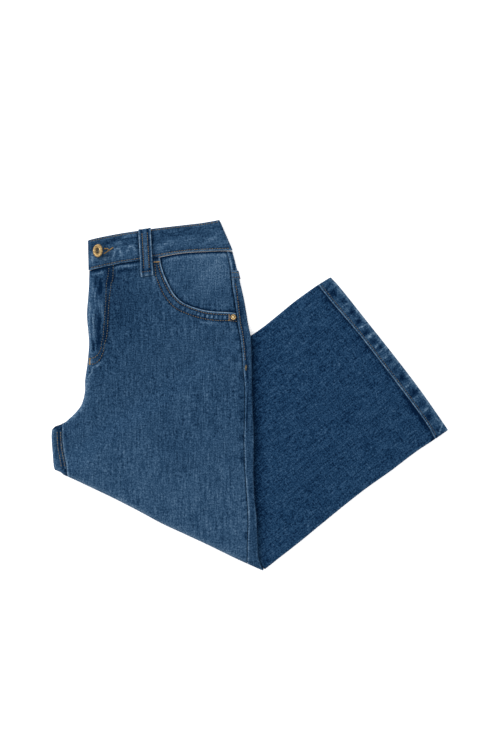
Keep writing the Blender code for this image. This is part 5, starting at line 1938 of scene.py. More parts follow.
@dataclass
class Waistband:
    """The waistband: one ring of turned cloth, folded double in its length, so four layers lie up.

    Attributes:
        turned: the thickness of a layer of turned cloth.
        layer_gap: the clearance between layers.
        width: across the band.
        row_inset, row_dip: how far the rows of sewing are from its edges, and how deep they sink.
        loop_place, loop_half: where the belt loop crosses it, and how far its shadow is from there.
        arches: its creases, of which the first two are the arches round the buttonhole.
    """

    room: Workroom
    turned: float = 2.1
    layer_gap: float = 0.4
    width: float = 37.0
    row_inset: float = 2.2
    row_dip: float = 0.3
    loop_place: float = -134.6
    loop_half: float = 8.6
    arches: tuple[Crease, ...] = (
        Crease((
            (-177.8, 175.9), (-175.1, 186.8), (-171.9, 190.6), (-168.6, 190.0), (-167.4, 185.6),
            (-166.4, 181.4), (-163.2, 180.3),
        ), 1.3, 0.42),
        Crease((
            (-159.4, 182.4), (-157.7, 190.1), (-154.4, 194.4), (-150.2, 191.1), (-147.6, 186.8),
            (-146.9, 182.6),
        ), 1.3, 0.42),
        Crease(((-183.0, 184.6), (-182.2, 180.0), (-183.4, 176.0)), 1.2, 0.3),
        Crease(((-188.6, 181.0), (-187.2, 177.0), (-188.8, 173.0)), 1.2, 0.3),
        Crease(((-205.6, 188.0), (-204.0, 180.0), (-205.0, 170.0)), 2.2, 0.3),
        Crease(((-204.6, 197.6), (-203.4, 192.0), (-205.6, 187.0)), 1.5, -0.4),
        Crease(((-172.6, 198.4), (-168.8, 198.8), (-165.4, 197.6)), 2.0, 0.26),
        Crease(((-166.0, 205.0), (-154.0, 208.4), (-146.0, 207.0)), 1.6, 0.2),
        Crease(((-187.0, 199.0), (-180.0, 200.6), (-172.0, 203.4)), 2.6, -0.3),
        Crease(((-121.0, 188.0), (-112.0, 196.0), (-96.0, 199.0)), 2.4, 0.12),
        Crease(((-119.0, 199.0), (-108.0, 205.0), (-92.0, 207.0)), 3.4, -0.18),
        Crease(((-112.0, 196.0), (-90.0, 204.0), (-66.0, 206.0)), 4.0, 0.08),
        Crease(((-106.0, 210.0), (-80.0, 212.0), (-52.0, 216.0)), 4.0, -0.12),
        Crease(((-62.0, 196.0), (-48.0, 204.0), (-36.0, 216.0)), 3.4, 0.12),
    )

    def face(self, points: Array) -> Array:
        """The height of the upper layer's face, for what is sewn on it."""
        return self.turned + 3 * (self.turned + self.layer_gap) + self.relief(points)

    def relief(self, points: Array) -> Array:
        """Its creases, with a dip along each row of sewing and a slight unevenness.

        Args:
            points: flat points, one row each.

        Returns:
            A height for each point.
        """
        low, high = near(points, smooth(BAND_FOOT)), near(points, smooth(BAND_TOP))
        dips = sum(edge.band(self.row_dip, self.row_inset, 1.4) for edge in (low, high))
        relief = relief_of(self.arches, points) + 0.14 * cloudy(points, 14.0, 9.0, -8.0, 81)
        inside = ease(np.minimum(low.gap, high.gap), 0.5, 4.0)
        return relief * inside - dips * low.uneven(1.0, 0.4, 4.0, 82)

    def path(self) -> Array:
        """The ring's path: four layers joined by small turns at the side and one large turn in front.

        Returns:
            Runs and heights.
        """
        pitch = self.turned + self.layer_gap
        levels = [self.turned / 2 + pitch * layer for layer in range(4)]
        small, large, outer = pitch / 2, (levels[3] - levels[0]) / 2, self.turned / 2
        left, right = large + outer, length_of(smooth(BAND_FOOT)) - small - outer
        inner = left + small
        return np.vstack([
            straight(left, right, levels[3], 1.7)[:-1],
            half_turn(right, levels[3] - small, small, 1, -1),
            straight(right, inner, levels[2], 6.0)[1:-1],
            half_turn(inner, levels[2] - small, small, -1, -1),
            straight(inner, right, levels[1], 6.0)[1:-1],
            half_turn(right, levels[1] - small, small, 1, -1),
            straight(right, left, levels[0], 6.0)[1:-1],
            half_turn(left, levels[0] + large, large, -1, 1, 15)[:-1],
        ])

    def marks(self, points: Array) -> dict[str, Array]:
        """Pale at the foot but beside the loop, darker towards the top, worn pale crease ridges, painted
        shade in the creases' troughs and in the foot row's dip, and the loop's painted shadow.

        Args:
            points: flat points, one row each.

        Returns:
            "wear" and "shade" for each point.
        """
        low, high = near(points, smooth(BAND_FOOT)), near(points, smooth(BAND_TOP))
        folds = relief_of(self.arches, points)
        wear_and_highlight = low.band(0.32, 0.0, 1.1) * low.uneven(0.75, 0.3, 5.0, 83)
        wear_and_highlight *= 0.3 + 0.7 * ease(np.abs(low.place - 75.0), 10.0, 40.0)
        wear_and_highlight += high.band(0.05, 1.2, 2.2) + 0.6 * np.clip(folds, 0, 1)
        # Darker towards the top; painted shade in the foot row's dip and in the creases' troughs; the loop's
        # painted shadow
        shade = 0.05 * ease(low.gap, 16.0, 32.0) + low.band(0.26, 2.4, 1.1) - low.band(0.04, 10.0, 8.0)
        shade += 0.4 * np.clip(-folds, 0, 1)
        shade += 0.22 * bell(np.abs(points[:, 0] - self.loop_place) - self.loop_half, 3.0)
        return {"wear_and_highlight": wear_and_highlight, "shade": shade}

    def build(self) -> bpy.types.Object:
        """Builds the band, with its relief on the upper face.

        Returns:
            The piece.
        """
        foot = smooth(BAND_FOOT)
        band = TurnedBand(self.path(), foot, smooth(BAND_TOP), length_of(foot))

        def lift(run: Array, across: Array, upper: Array) -> Array:
            """The upper face's relief at its own places."""
            return self.relief(band.flat(run, across)).reshape(run.shape) * upper

        grid = band.grid(TurnedEdge(self.width, self.turned), lift)
        faces, marks = grid_faces(*grid.shape[:2], ring=True, tube=True), self.marks(flattened(grid))
        finish = self.room.finishes.band
        return self.room.piece("waistband_ring", grid, faces, finish, Slot.BODY, ["waistband"], marks)


class Leg(Enum):
    """Which leg a hem belongs to: the left one lies below."""

    LEFT = 0
    RIGHT = 1


@dataclass
class Hems:
    """The turned hems: two flattened rings, the right leg's on the left leg's.

    Attributes:
        turned: the thickness of a layer of turned cloth.
        layer_gap: the clearance between layers.
        width: across the band.
        rope_pitch: from one ridge of the roping to the next.
        sewn_share: how far across the band its row of sewing is.
    """

    room: Workroom
    turned: float = 2.1
    layer_gap: float = 0.4
    width: float = 20.4
    rope_pitch: float = 15.0
    sewn_share: float = 0.17

    def edges(self) -> tuple[Array, Array]:
        """The hem's sewn edge, just clear of the leg's panel, and its outer edge."""
        seam, edge = smooth(HEM_SEAM), smooth(HEM_EDGE)
        return seam + unit(edge[-1] - seam[-1] + edge[0] - seam[0]) * self.room.lie.gap, edge

    def roping(self, run: Array, across: Array) -> Array:
        """The twisted look of a chain-sewn hem: slanted ridges, one every `rope_pitch`."""
        turns = run / self.rope_pitch + 0.55 * across + 0.35 * waver(run, 22.0, 91)
        return np.sin(2 * math.pi * turns)

    def pleats(self, run: Array, across: Array) -> tuple[Array, Array]:
        """The pale worn pleats that the sewing pulls across the hem, and the hollows between them, painted
        dark with shade.

        Args:
            run: how far along the hem each point is.
            across: the share of the way across.

        Returns:
            How pale and how dark each point is.
        """
        pale, dark = np.zeros(run.shape), np.zeros(run.shape)
        for foot, edge, middle, reach, width, amount in HEM_PLEATS:
            beside = bell(run - foot - (edge - foot) * across, width) * bell(across - middle, reach)
            pale += max(amount, 0) * beside
            dark += max(-amount, 0) * beside
        return pale, dark

    def marks(self, run: Array, across: Array) -> dict[str, Array]:
        """Pale worn pleats and edges, hollows painted dark with shade, and the sewing's painted shadow.

        Args:
            run: how far along the hem each point is.
            across: the share of the way across.

        Returns:
            "wear" and "shade" for each point.
        """
        ridge = self.roping(run, across)
        pale, dark = self.pleats(run, across)
        wear_and_highlight = pale + 0.05 * np.clip(ridge, 0, 1) * bell(across - 0.6, 0.35)
        wear_and_highlight += 0.3 * bell(across - 0.035, 0.045) * uneven(run, 0.85, 0.3, 6.0, 94)
        wear_and_highlight += 0.2 * ease(across, 0.7, 0.96) * uneven(run, 0.8, 0.5, 5.0, 95)
        # Painted shade in the pleats' and the roping's hollows, and the sewing's painted shadow
        shade = dark + 0.08 * np.clip(-ridge, 0, 1) * bell(across - 0.5, 0.4)
        return {"wear_and_highlight": wear_and_highlight, "shade": shade + 0.24 * bell(across - self.sewn_share, 0.035)}

    def path(self, wide: float) -> Array:
        """A ring's path: two layers, joined by a small turn at each end.

        Args:
            wide: how long the hem is, laid flat.

        Returns:
            Runs and heights.
        """
        low, pitch = self.turned / 2, self.turned + self.layer_gap
        small = pitch / 2
        start, end = small + low, wide - small - low
        return np.vstack([
            straight(start, end, low + pitch, 1.1)[:-1],
            half_turn(end, low + small, small, 1, -1),
            straight(end, start, low, 6.0)[1:-1],
            half_turn(start, low + small, small, -1, 1)[:-1],
        ])

    def build(self, leg: Leg) -> bpy.types.Object:
        """Builds one hem.

        Args:
            leg: whose it is.

        Returns:
            The piece.
        """
        foot, top = self.edges()
        wide = length_of(top)
        path = self.path(wide)
        band = TurnedBand(path, foot, top, wide, leg.value * 2 * (self.turned + self.layer_gap))

        def lift(run: Array, across: Array, upper: Array) -> Array:
            """Pleats, roping that is strongest in the middle, and a dip under the sewing.

            Args:
                run: how far along the hem each point is.
                across: the share of the way across.
                upper: whether it is on the upper face.

            Returns:
                How far each point is moved out.
            """
            dip = 0.3 * bell(across - self.sewn_share, 0.05)
            pale, dark = self.pleats(run, across)
            ridges = 0.1 * self.roping(run, across) * bell(across - 0.58, 0.4) + 0.8 * pale - 0.9 * dark
            return (ridges - dip) * (upper if leg is Leg.RIGHT else 0.5 * upper)

        section = TurnedEdge(self.width, self.turned, 1.0)
        grid = band.grid(section, lift)
        rows, columns = grid.shape[:2]
        marks = self.marks(np.repeat(path[:, 0], columns), np.tile(section.outline()[0], rows))
        side = leg.name.lower()
        faces, finish = grid_faces(rows, columns, ring=True, tube=True), self.room.finishes.hem
        return self.room.piece(f"hem_ring_{side}", grid, faces, finish, Slot.LEG, [f"hem_{side}"], marks)

    def seam_line(self) -> Array:
        """The row of sewing on the upper hem.

        Returns:
            Points in space.
        """
        foot, top = self.edges()
        share = np.linspace(0.012, 0.988, 200)
        flat = (1 - self.sewn_share) * along(foot, share) + self.sewn_share * along(top, share)
        height = 4 * (self.turned + self.layer_gap) - self.layer_gap - 0.2
        return np.column_stack([flat, np.full(len(flat), height)])


@dataclass
class BeltLoop:
    """A belt loop: it turns in over the waistband's top edge and is sewn down below it.

    Attributes:
        start, end: its middle line, seen from above, from the waistband's top down.
        width, thick: across it, and through its folded cloth.
        slant: how far its left edge runs ahead of its middle.
        row_share: how far across from its middle its rows of sewing are.
        edge_rise, row_dip: how high its folded edges and how deep its rows are.
        foot_row: how far down it the row across its foot is.
        foot_rise, foot_dip: how much thicker it is there, and how deep that row sinks.
        path: its outer face, as runs down from the start and heights.
    """

    room: Workroom
    start: tuple[float, float] = (-136.2, 216.2)
    end: tuple[float, float] = (-133.0, 159.1)
    width: float = 16.2
    thick: float = 2.0
    slant: float = 0.75
    row_share: float = 0.42
    edge_rise: float = 0.3
    row_dip: float = 0.22
    foot_row: float = 55.4
    foot_rise: float = 0.35
    foot_dip: float = 0.35
    path: Points = (
        (-0.4, 5.5), (-0.4, 9.4), (0.9, 11.7), (4.0, 12.3), (13.0, 12.7), (25.0, 12.9), (36.0, 12.5),
        (42.0, 12.0), (47.0, 12.3), (53.0, 12.7), (57.6, 12.6), (60.2, 11.7), (61.0, 10.6),
    )

    def place(self, run: Array, share: Array, height: Array) -> Array:
        """Points in space.

        Args:
            run: how far down the loop each is.
            share: how far across it, from -1 to 1.
            height: how high.

        Returns:
            The points.
        """
        ahead = unit(np.array(self.end) - np.array(self.start))
        flat = np.array(self.start) + ahead * (run - self.slant * share)[..., None]
        flat = flat + np.array([-ahead[1], ahead[0]]) * (share * self.width / 2)[..., None]
        return np.concatenate([flat, height[..., None]], axis=-1)

    def face(self, share: Array) -> Array:
        """The face's relief across the loop: raised folded edges, a dip under each row of sewing."""
        off = np.abs(share)
        return self.edge_rise * bell(off - 0.84, 0.12) - self.row_dip * bell(off - self.row_share, 0.14)

    def outline(self, edge_from: float = 0.94, count: int = 26) -> tuple[Array, Array]:
        """Its cross-section, walked once round: face, rounded edge, back, rounded edge.

        Args:
            edge_from: the share across at which its edges start to round.
            count: how many points its faces have.

        Returns:
            Shares across and heights.
        """
        upper, half = np.linspace(-edge_from, edge_from, count), self.thick / 2
        turn = np.radians(np.linspace(60, -60, 5))
        edge, round_edge = edge_from + (1 - edge_from) * np.cos(turn), half * np.sin(turn)
        share = np.concatenate([upper, edge, upper[::-1], -edge])
        back = np.full(count, -self.thick)
        return share, np.concatenate([np.zeros(count), round_edge - half, back, -round_edge - half])

    def build(self) -> bpy.types.Object:
        """Builds the loop: its cross-section is carried along its path, square to the path.

        Returns:
            The piece.
        """
        path = along(smooth(self.path, 1.0), np.linspace(0, 1, 64))
        normal = sideways(path)
        share, level = self.outline()
        top = (level > -0.5 * self.thick).astype(float)
        bulk = self.foot_rise * ease(path[:, 0], 48.0, 54.0) * (1 - ease(path[:, 0], 58.0, 60.5))
        dip = self.foot_dip * bell(path[:, 0] - self.foot_row, 1.4)
        out = level[None] + top[None] * (self.face(share)[None] + bulk[:, None] - dip[:, None])
        run, height = path[:, :1] + normal[:, :1] * out, path[:, 1:] + normal[:, 1:] * out
        grid = self.place(run, share[None] * np.ones(run.shape), height)
        rows, columns = grid.shape[:2]
        ends = [self.cap(0, columns, False), self.cap(rows - 1, columns, True)]
        faces = np.vstack([grid_faces(rows, columns, ring=True), *ends])
        # Pale worn folded edges and foot, painted shade in the dips of the rows of sewing and of the foot
        # row, and a little lighter along the middle
        place, rim = path[:, :1] * np.ones(columns), np.abs(share)[None] * np.ones((rows, 1))
        wear_and_highlight = 0.38 * bell(rim - 0.92, 0.08) * uneven(place, 0.8, 0.3, 5.0, 95)
        wear_and_highlight += 0.2 * bell(place - 60.0, 1.6)
        shade = 0.4 * bell(rim - 0.5, 0.15) + 0.3 * bell(place - 54.0, 1.6) - 0.12 * bell(rim, 0.24)
        finish, marks = self.room.finishes.body, {"wear_and_highlight": wear_and_highlight, "shade": shade}
        return self.room.piece("belt_loop_strip", grid, faces, finish, Slot.SEAM, ["belt_loop"], marks)

    @staticmethod
    def cap(row: int, size: int, flip: bool) -> Array:
        """Four-sided faces that close one end: its upper half is joined to its lower half.

        Args:
            row: which of the grid's rows the end is.
            size: how many points a row has.
            flip: whether the faces are walked the other way.

        Returns:
            The point numbers of each face.
        """
        index = row * size + np.arange(size)
        first, second = index[: size // 2], index[size // 2 :][::-1]
        faces = np.stack([first[:-1], first[1:], second[1:], second[:-1]], axis=1)
        return faces[:, ::-1] if flip else faces

    def rows(self) -> list[Array]:
        """The loop's two rows of sewing and the row across its foot.

        Returns:
            Each row's points in space.
        """
        path = along(smooth(self.path, 1.0), np.linspace(0.16, 0.86, 60))
        sides = (-self.row_share, self.row_share)
        lines = [self.place(path[:, 0], np.full(60, share), path[:, 1] + 0.1) for share in sides]
        foot = self.place(np.full(20, self.foot_row), np.linspace(-0.8, 0.8, 20), np.full(20, 12.8))
        return lines + [foot]


# ------------------------------------------------------------------ hidden layers


@dataclass
class Side:
    """One side of a pile: a curve with the pile on its left, and the profile of its edge.

    Attributes:
        curve: the outline.
        shares: where the mesh's points lie along it.
        insets, heights: a row for each ring, from the upper face down to the floor.
    """

    curve: Array
    shares: Array
    insets: Array
    heights: Array

    @property
    def normals(self) -> Array:
        """Unit vectors into the pile."""
        return sideways(self.curve)


@dataclass
class HiddenLayers:
    """The layers that the fold hides: a body pile and a leg pile, each with rolls at its edges.

    Attributes:
        inner: how far below the cloth's outer face its inner face and the clearance are.
        edge_inner: the same at an edge, sideways.
        shelf: how far the body's pile ends inside its right edge where the legs lie below it.
        floor_inset: how far inside its edges a pile ends at the floor.
        pocket_depth, hip_foot: how deep the hips' pocket is, and how far down the page it reaches.
        seat: the clearance under the panels.
        rings: how many rings of points run round a pile's sides.
    """

    room: Workroom
    inner: float = 1.65
    edge_inner: float = 2.15
    shelf: float = 14.5
    floor_inset: float = 3.0
    pocket_depth: float = 3.4
    hip_foot: float = 88.0
    seat: float = 0.6
    rings: int = 45

    def stacked(self, insets: Sequence[object], heights: Sequence[object], size: int) -> tuple[Array, Array]:
        """Profile rows as two tables, rounded by a cubic through them and spread over all the rings.

        Args:
            insets: for each row, how far inside the outline it is.
            heights: how high it is.
            size: how many points the outline has.

        Returns:
            Both as tables of rings by points.
        """
        first, second = (
            self.rounded(np.array([np.broadcast_to(np.asarray(row, float), (size,)) for row in rows]))
            for rows in (insets, heights)
        )
        return first, second

    def rounded(self, table: Array) -> Array:
        """A table's rows resampled along a soft cubic, which keeps its first and last.

        Args:
            table: the rows.

        Returns:
            As many rows as there are rings.
        """
        at = np.linspace(0, len(table) - 1, self.rings)
        low = np.clip(np.floor(at).astype(int), 0, len(table) - 2)
        t = (at - low)[:, None]
        before, after = table[np.maximum(low - 1, 0)], table[np.minimum(low + 2, len(table) - 1)]
        start, end = table[low], table[low + 1]
        slope_start, slope_end = 0.4 * (end - before), 0.4 * (after - start)
        blend = t * t * (3 - 2 * t)
        hump = 0.5 * t * (1 - t) * ((1 - t) * slope_start - t * slope_end)
        return np.clip((1 - blend) * start + blend * end + hump, 0, None)

    def quarter(self, reach: Array | float, degrees: Sequence[float]) -> list[Array]:
        """Insets of rings that round an edge: from `reach` in to the edge's inner face and back."""
        sines = [math.sin(math.radians(angle)) for angle in degrees]
        return [reach * (1 - sine) + self.edge_inner * sine for sine in sines]

    def under_panel(self, top: Array, side: Array, reach: Array | float) -> tuple[list[Array], list[Array]]:
        """Rings inside a panel that turns down over the edge.

        Args:
            top, side: the heights that they start and end at.
            reach: how far in the panel starts to turn.

        Returns:
            Insets and heights.
        """
        turns = (30, 60, 84)
        heights = [side + (top - side) * math.cos(math.radians(angle)) for angle in turns]
        return [reach + 0.6] + self.quarter(reach, turns), [top] + heights

    def layered(
        self, curve: Array, level: Array, base: Array | float, reach: Array | float, drop: Array | float,
        overhang: Array | float,
    ) -> tuple[Array, Array]:
        """Two flattened legs, one on the other: the rolls of cloth at their edges.

        The groove between the rolls wanders up and down, and each roll stands out unevenly.

        Args:
            curve: the outline.
            level: how high the cloth's upper face is.
            base: how high the lower roll starts.
            reach, drop: how far in and down the outer panel turns.
            overhang: how far inside the outline the pile ends at its base.

        Returns:
            Insets and heights of all the rings.
        """
        place, side = walked_along(curve), level - drop
        insets, heights = self.under_panel(level - self.inner, side, reach)
        groove = level - 2 * drop + 0.35 * waver(place, 17.0, 101)
        low = groove - base
        upper, lower = np.abs(0.3 * waver(place, 23.0, 102)), 0.5 * waver(place, 29.0, 103)
        out = np.abs(lower)
        insets += [self.edge_inner, 0.15, 0.5 + 0.3 * upper, 1.7, 0.5 + lower * 0.6, 0.3 + out]
        insets += [0.5 + out, 1.6, overhang, overhang + 0.5]
        heights += [side - 0.65, side - 0.7, side - 0.8 * drop, groove, groove - 0.25 * low]
        heights += [groove - 0.5 * low, base + 0.2 * low, base, base, 0.0]
        return self.stacked(insets, heights, len(level))

    def front(self, level: Array, reach: Array) -> tuple[Array, Array]:
        """The centre front fold: one big roll of cloth round all the layers.

        Args:
            level: how high the cloth's upper face is.
            reach: how far in the outer panel starts to turn down.

        Returns:
            Insets and heights of all the rings.
        """
        insets, heights = self.under_panel(level - self.inner, level / 2, reach)
        side = level / 2 - 0.7
        turns = [math.radians(angle) for angle in (20, 42, 62, 78)]
        insets += [self.edge_inner, 0.15] + [reach * (1 - math.cos(turn)) + 0.15 for turn in turns]
        heights += [side + 0.05, side] + [side * (1 - math.sin(turn)) for turn in turns]
        insets += [reach, reach + 1.0, reach + 3.0, reach + 5.0]
        heights += [0.0, 0.0, 0.0, 0.0]
        return self.stacked(insets, heights, len(level))

    def folded(self, level: Array, low: Array) -> tuple[Array, Array]:
        """The thigh fold: the layers inside the outer panel's wrap.

        Args:
            level: how high the cloth's upper face is.
            low: the least of that close by.

        Returns:
            Insets and heights of all the rings.
        """
        reach, half = self.room.lie.fold_reach, level / 2
        insets, heights = self.under_panel(np.maximum(low - self.inner, half + 0.3), half, reach)
        turns = (90, 98, 112, 128, 144, 160, 180)
        insets += self.quarter(reach, turns) + [reach + 1.8, reach + 2.0, reach + 2.4]
        heights += [half + (half - self.inner) * math.cos(math.radians(angle)) for angle in turns]
        return self.stacked(insets, heights + [self.inner, 0.0, 0.0], len(level))

    def cut(self, top: Array) -> tuple[Array, Array]:
        """An upright end that another piece covers.

        Args:
            top: how high it is.

        Returns:
            Insets and heights of all the rings.
        """
        part = np.append(np.linspace(1, 0, self.rings - 1), 0.0)
        insets = np.full((self.rings, len(top)), self.room.lie.gap)
        insets[-1] += self.floor_inset
        return insets, part[:, None] * top[None]

    @staticmethod
    def corner(before: Side, after: Side, ring: int) -> Array:
        """The point near the corner of two sides that lies at both of their insets.

        Args:
            before, after: the sides that meet.
            ring: the ring's number.

        Returns:
            The point in space.
        """
        normals = np.array([before.normals[-1], after.normals[0]])
        inset = [before.insets[ring][-1], after.insets[ring][0]]
        flat = after.curve[0] + np.linalg.solve(normals, inset)
        return np.append(flat, min(before.heights[ring][-1], after.heights[ring][0]))

    def ring(self, sides: Sequence[Side], number: int) -> Array:
        """One ring of points round a pile, in order from the start of the first side.

        Args:
            sides: the pile's sides.
            number: the ring's.

        Returns:
            Its points.
        """
        points = []
        for index, side in enumerate(sides):
            start = self.corner(sides[index - 1], side, number)
            end = self.corner(side, sides[(index + 1) % len(sides)], number)
            moved = side.curve + side.normals * side.insets[number][:, None]
            line = np.column_stack([moved, side.heights[number]])
            walked = walked_along(side.curve)
            ahead = (side.curve[1] - side.curve[0]) / (walked[1] - walked[0])
            behind = (side.curve[-1] - side.curve[-2]) / (walked[-1] - walked[-2])
            low = np.dot(start[:2] - side.curve[0], ahead)
            high = walked[-1] + np.dot(end[:2] - side.curve[-1], behind)
            wanted = low + (high - low) * side.shares
            row = columns_at(wanted, walked, line)
            row[0] = start
            points.append(row[:-1])
        return np.vstack(points)

    @staticmethod
    def filled(ring: Array, sides: Sequence[Side]) -> Array:
        """A grid of flat points that fills a ring of four sides, blended from them.

        Args:
            ring: its points.
            sides: the pile's sides.

        Returns:
            The grid.
        """
        rows, columns = len(sides[0].shares) - 1, len(sides[1].shares) - 1
        closed = np.vstack([ring, ring[:1]])[:, :2]
        left = closed[: rows + 1]
        foot = closed[rows : rows + columns + 1]
        right = closed[rows + columns : 2 * rows + columns + 1][::-1]
        top = closed[2 * rows + columns :][::-1]
        return blended(top, foot, left, right, np.linspace(0, 1, rows + 1), np.linspace(0, 1, columns + 1))

    def pile(
        self, name: str, sides: Sequence[Side], top_height: Height, replaces: Sequence[str],
    ) -> bpy.types.Object:
        """A closed pile: a filled upper face, rings down its sides, and a flat underside.

        Args:
            name: the piece's name.
            sides: its four sides.
            top_height: gives its upper face's heights.
            replaces: the solids that it stands for.

        Returns:
            The piece.
        """
        rows, columns = len(sides[0].shares) - 1, len(sides[1].shares) - 1
        around = 2 * (rows + columns)
        face = (rows + 1) * (columns + 1)
        index = np.arange(face).reshape(rows + 1, columns + 1)
        border = np.concatenate([index[:-1, 0], index[-1, :-1], index[:0:-1, -1], index[0, :0:-1]])
        rings = [self.ring(sides, number) for number in range(self.rings)]
        upper, lower = (self.filled(rings[end], sides).reshape(-1, 2) for end in (0, -1))
        heights = top_height(upper)
        heights[border] = rings[0][:, 2]
        points = np.vstack([
            np.column_stack([upper, heights]), np.column_stack([lower, np.zeros(len(lower))]), *rings[1:-1],
        ])
        # The rings' point numbers, from the upper face's border down to the underside's
        inner = [2 * face + around * number + np.arange(around) for number in range(self.rings - 2)]
        loops = [border, *inner, face + border]
        faces = grid_faces(rows + 1, columns + 1)
        parts = [faces[:, ::-1], face + faces]
        for above, below in zip(loops[:-1], loops[1:]):
            parts.append(np.stack([above, below, np.roll(below, -1), np.roll(above, -1)], axis=1))
        # Painted shade in the groove between the rolls and a painted highlight on the lower roll, a little
        # darker all over
        depth = np.linspace(0, 1, self.rings)[1:-1, None] * np.ones(around)
        shade = np.concatenate([np.full(2 * face, 0.1), (0.1 + 0.3 * bell(depth - 0.55, 0.05)).ravel()])
        wear_and_highlight = np.concatenate([np.zeros(2 * face), (0.16 * bell(depth - 0.72, 0.08)).ravel()])
        marks, leg = {"wear_and_highlight": wear_and_highlight, "shade": shade}, self.room.finishes.leg
        return self.room.piece(name, points, np.vstack(parts), leg, Slot.LEG, replaces, marks)

    def body_top(self, points: Array) -> Array:
        """The hidden layers' upper face, under the panels and deeper under the hips' pocket."""
        deeper = (self.pocket_depth - self.inner) * ease(points[:, 1], self.hip_foot - 8, self.hip_foot)
        return lowest_near(points, self.room.lie.body_level, 13.0) - self.inner - self.seat - deeper

    def leg_top(self, points: Array) -> Array:
        """The hidden lower legs' upper face."""
        return lowest_near(points, self.room.lie.leg_level, 8.0) - self.inner - self.seat

    def covered(self, curve: Array, along_it: Array, top: Height) -> Side:
        """A pile's upright side that another piece covers."""
        return Side(curve, along_it, *self.cut(top(curve) - 0.2))

    def build_body(self) -> bpy.types.Object:
        """Builds the body's pile.

        Returns:
            The piece.
        """
        lie = self.room.lie
        level = lowest_near(lie.left, lie.body_level, 6.0)
        share = lie.crotch_share(lie.left)
        reach = lie.left_reach(share)
        crotch = self.layered(lie.left, level, 0.0, reach, lie.side_turn, self.floor_inset)
        left = [(1 - share) * one + share * other for one, other in zip(self.front(level, reach), crotch)]
        # The right edge: the lower legs lie below its lower half, up to the fold's tip
        page = lie.right[:, 1]
        over_legs = ease(-page, -89.0, -79.0)
        base = (lie.legs_height + lie.gap) * over_legs * ease(page, -212.0, -200.0)
        overhang = (self.shelf - self.floor_inset) * over_legs * ease(page, -206.0, -192.0)
        level = lowest_near(lie.right, lie.body_level, 2.0)
        right = self.layered(
            lie.right, level, base, lie.side_reach, lie.side_turn, self.floor_inset + overhang,
        )
        fold = self.folded(lie.body_level(lie.fold), lowest_near(lie.fold, lie.body_level, 12.0))
        fold_shares = np.concatenate([np.linspace(0, 0.06, 8)[:-1], np.linspace(0.06, 1, 60)])
        side_shares = np.linspace(0, 1, 160)
        return self.pile("hidden_body_layers", (
            Side(lie.left, side_shares, *left), Side(lie.fold, fold_shares, *fold),
            Side(lie.right, side_shares, *right),
            self.covered(lie.waist[::-1], np.linspace(0, 1, len(fold_shares)), self.body_top),
        ), self.body_top, ["hidden_layers"])

    def build_legs(self) -> bpy.types.Object:
        """Builds the lower legs' pile.

        Returns:
            The piece.
        """
        lie = self.room.lie
        edge = lie.right[::-1] - [2 * self.shelf, 0]
        edge = edge[(edge[:, 1] < 40.0) & (edge[:, 1] > -176.0)]
        under = np.vstack([[LEG_PILE_INSEAM], edge, LEG_PILE_TIP])
        even = np.linspace(0, 1, 100)
        return self.pile("hidden_leg_layers", (
            self.covered(under, even, self.leg_top),
            self.leg_side(np.vstack([LEG_PILE_TIP[-1:], lie.outseam[6:]]), even),
            self.covered(lie.hem[::-1], even, self.leg_top),
            self.leg_side(np.vstack([[LEG_PILE_INSEAM], lie.inseam])[::-1], even),
        ), self.leg_top, [])

    def leg_side(self, curve: Array, along_it: Array) -> Side:
        """A lower leg's side, with the rolls of cloth at its edge.

        Args:
            curve: the outline.
            along_it: where the mesh's points lie along it, as shares.

        Returns:
            The side.
        """
        lie = self.room.lie
        level = lowest_near(curve, lie.leg_level, 2.0)
        profile = self.layered(curve, level, 0.0, lie.side_reach, level / 4, self.floor_inset)
        return Side(curve, along_it, *profile)


# ------------------------------------------------------------------ button and rivet


@dataclass(frozen=True)
class Stamped:
    """A stamped metal piece: a profile turned about its axis, with fine radial grooves on its rim.

    A point is (r cos a, r sin a, h + depth x cos(grooves x a) x rim), tilted about the page's
    upright line and moved to its place.

    Attributes:
        profile: rows of radius and height from the top's middle to the back's middle.
        centre: its place.
        tilt: how far it leans, in degrees.
        grooves: how many there are round the rim.
        depth: how deep they are.
        rim: the radii between which they run.
        dark: the spans of radius that are darker: tarnished hollows, and edges where shade is painted.
        highlit_middle: the radius of the middle that is painted with a highlight.
    """

    profile: Points
    centre: tuple[float, float, float]
    tilt: float
    grooves: int
    depth: float
    rim: tuple[float, float]
    dark: tuple[tuple[float, float], ...]
    highlit_middle: float = 0.0
    steps: int = 144

    def surface(self) -> tuple[Array, Array, Array]:
        """The piece's form.

        Returns:
            Points, four-sided faces, and the radius at each face.
        """
        rows = along(smooth(self.profile, 0.35), np.linspace(0, 1, 70))
        rows[:, 0] = np.clip(rows[:, 0], 0.02, None)
        turn = np.linspace(0, 2 * math.pi, self.steps, endpoint=False)
        radius, height = rows[:, :1], rows[:, 1:]
        low, high = self.rim
        on_rim = ease(radius, low - 0.3, low + 0.2) * (1 - ease(radius, high - 0.2, high + 0.3))
        bumps = self.depth * np.cos(self.grooves * turn)[None] * on_rim * (height > 0.4)
        x, y, z = radius * np.cos(turn), radius * np.sin(turn), height + bumps
        cosine, sine = math.cos(math.radians(self.tilt)), math.sin(math.radians(self.tilt))
        points = np.stack([x * cosine + z * sine, y, z * cosine - x * sine], axis=2) + np.array(self.centre)
        faces = grid_faces(*points.shape[:2], ring=True)
        across = np.repeat(rows[:-1, 0], self.steps)
        across[np.repeat(rows[:-1, 1], self.steps) < 0.0] = 0.0
        return points, faces, across


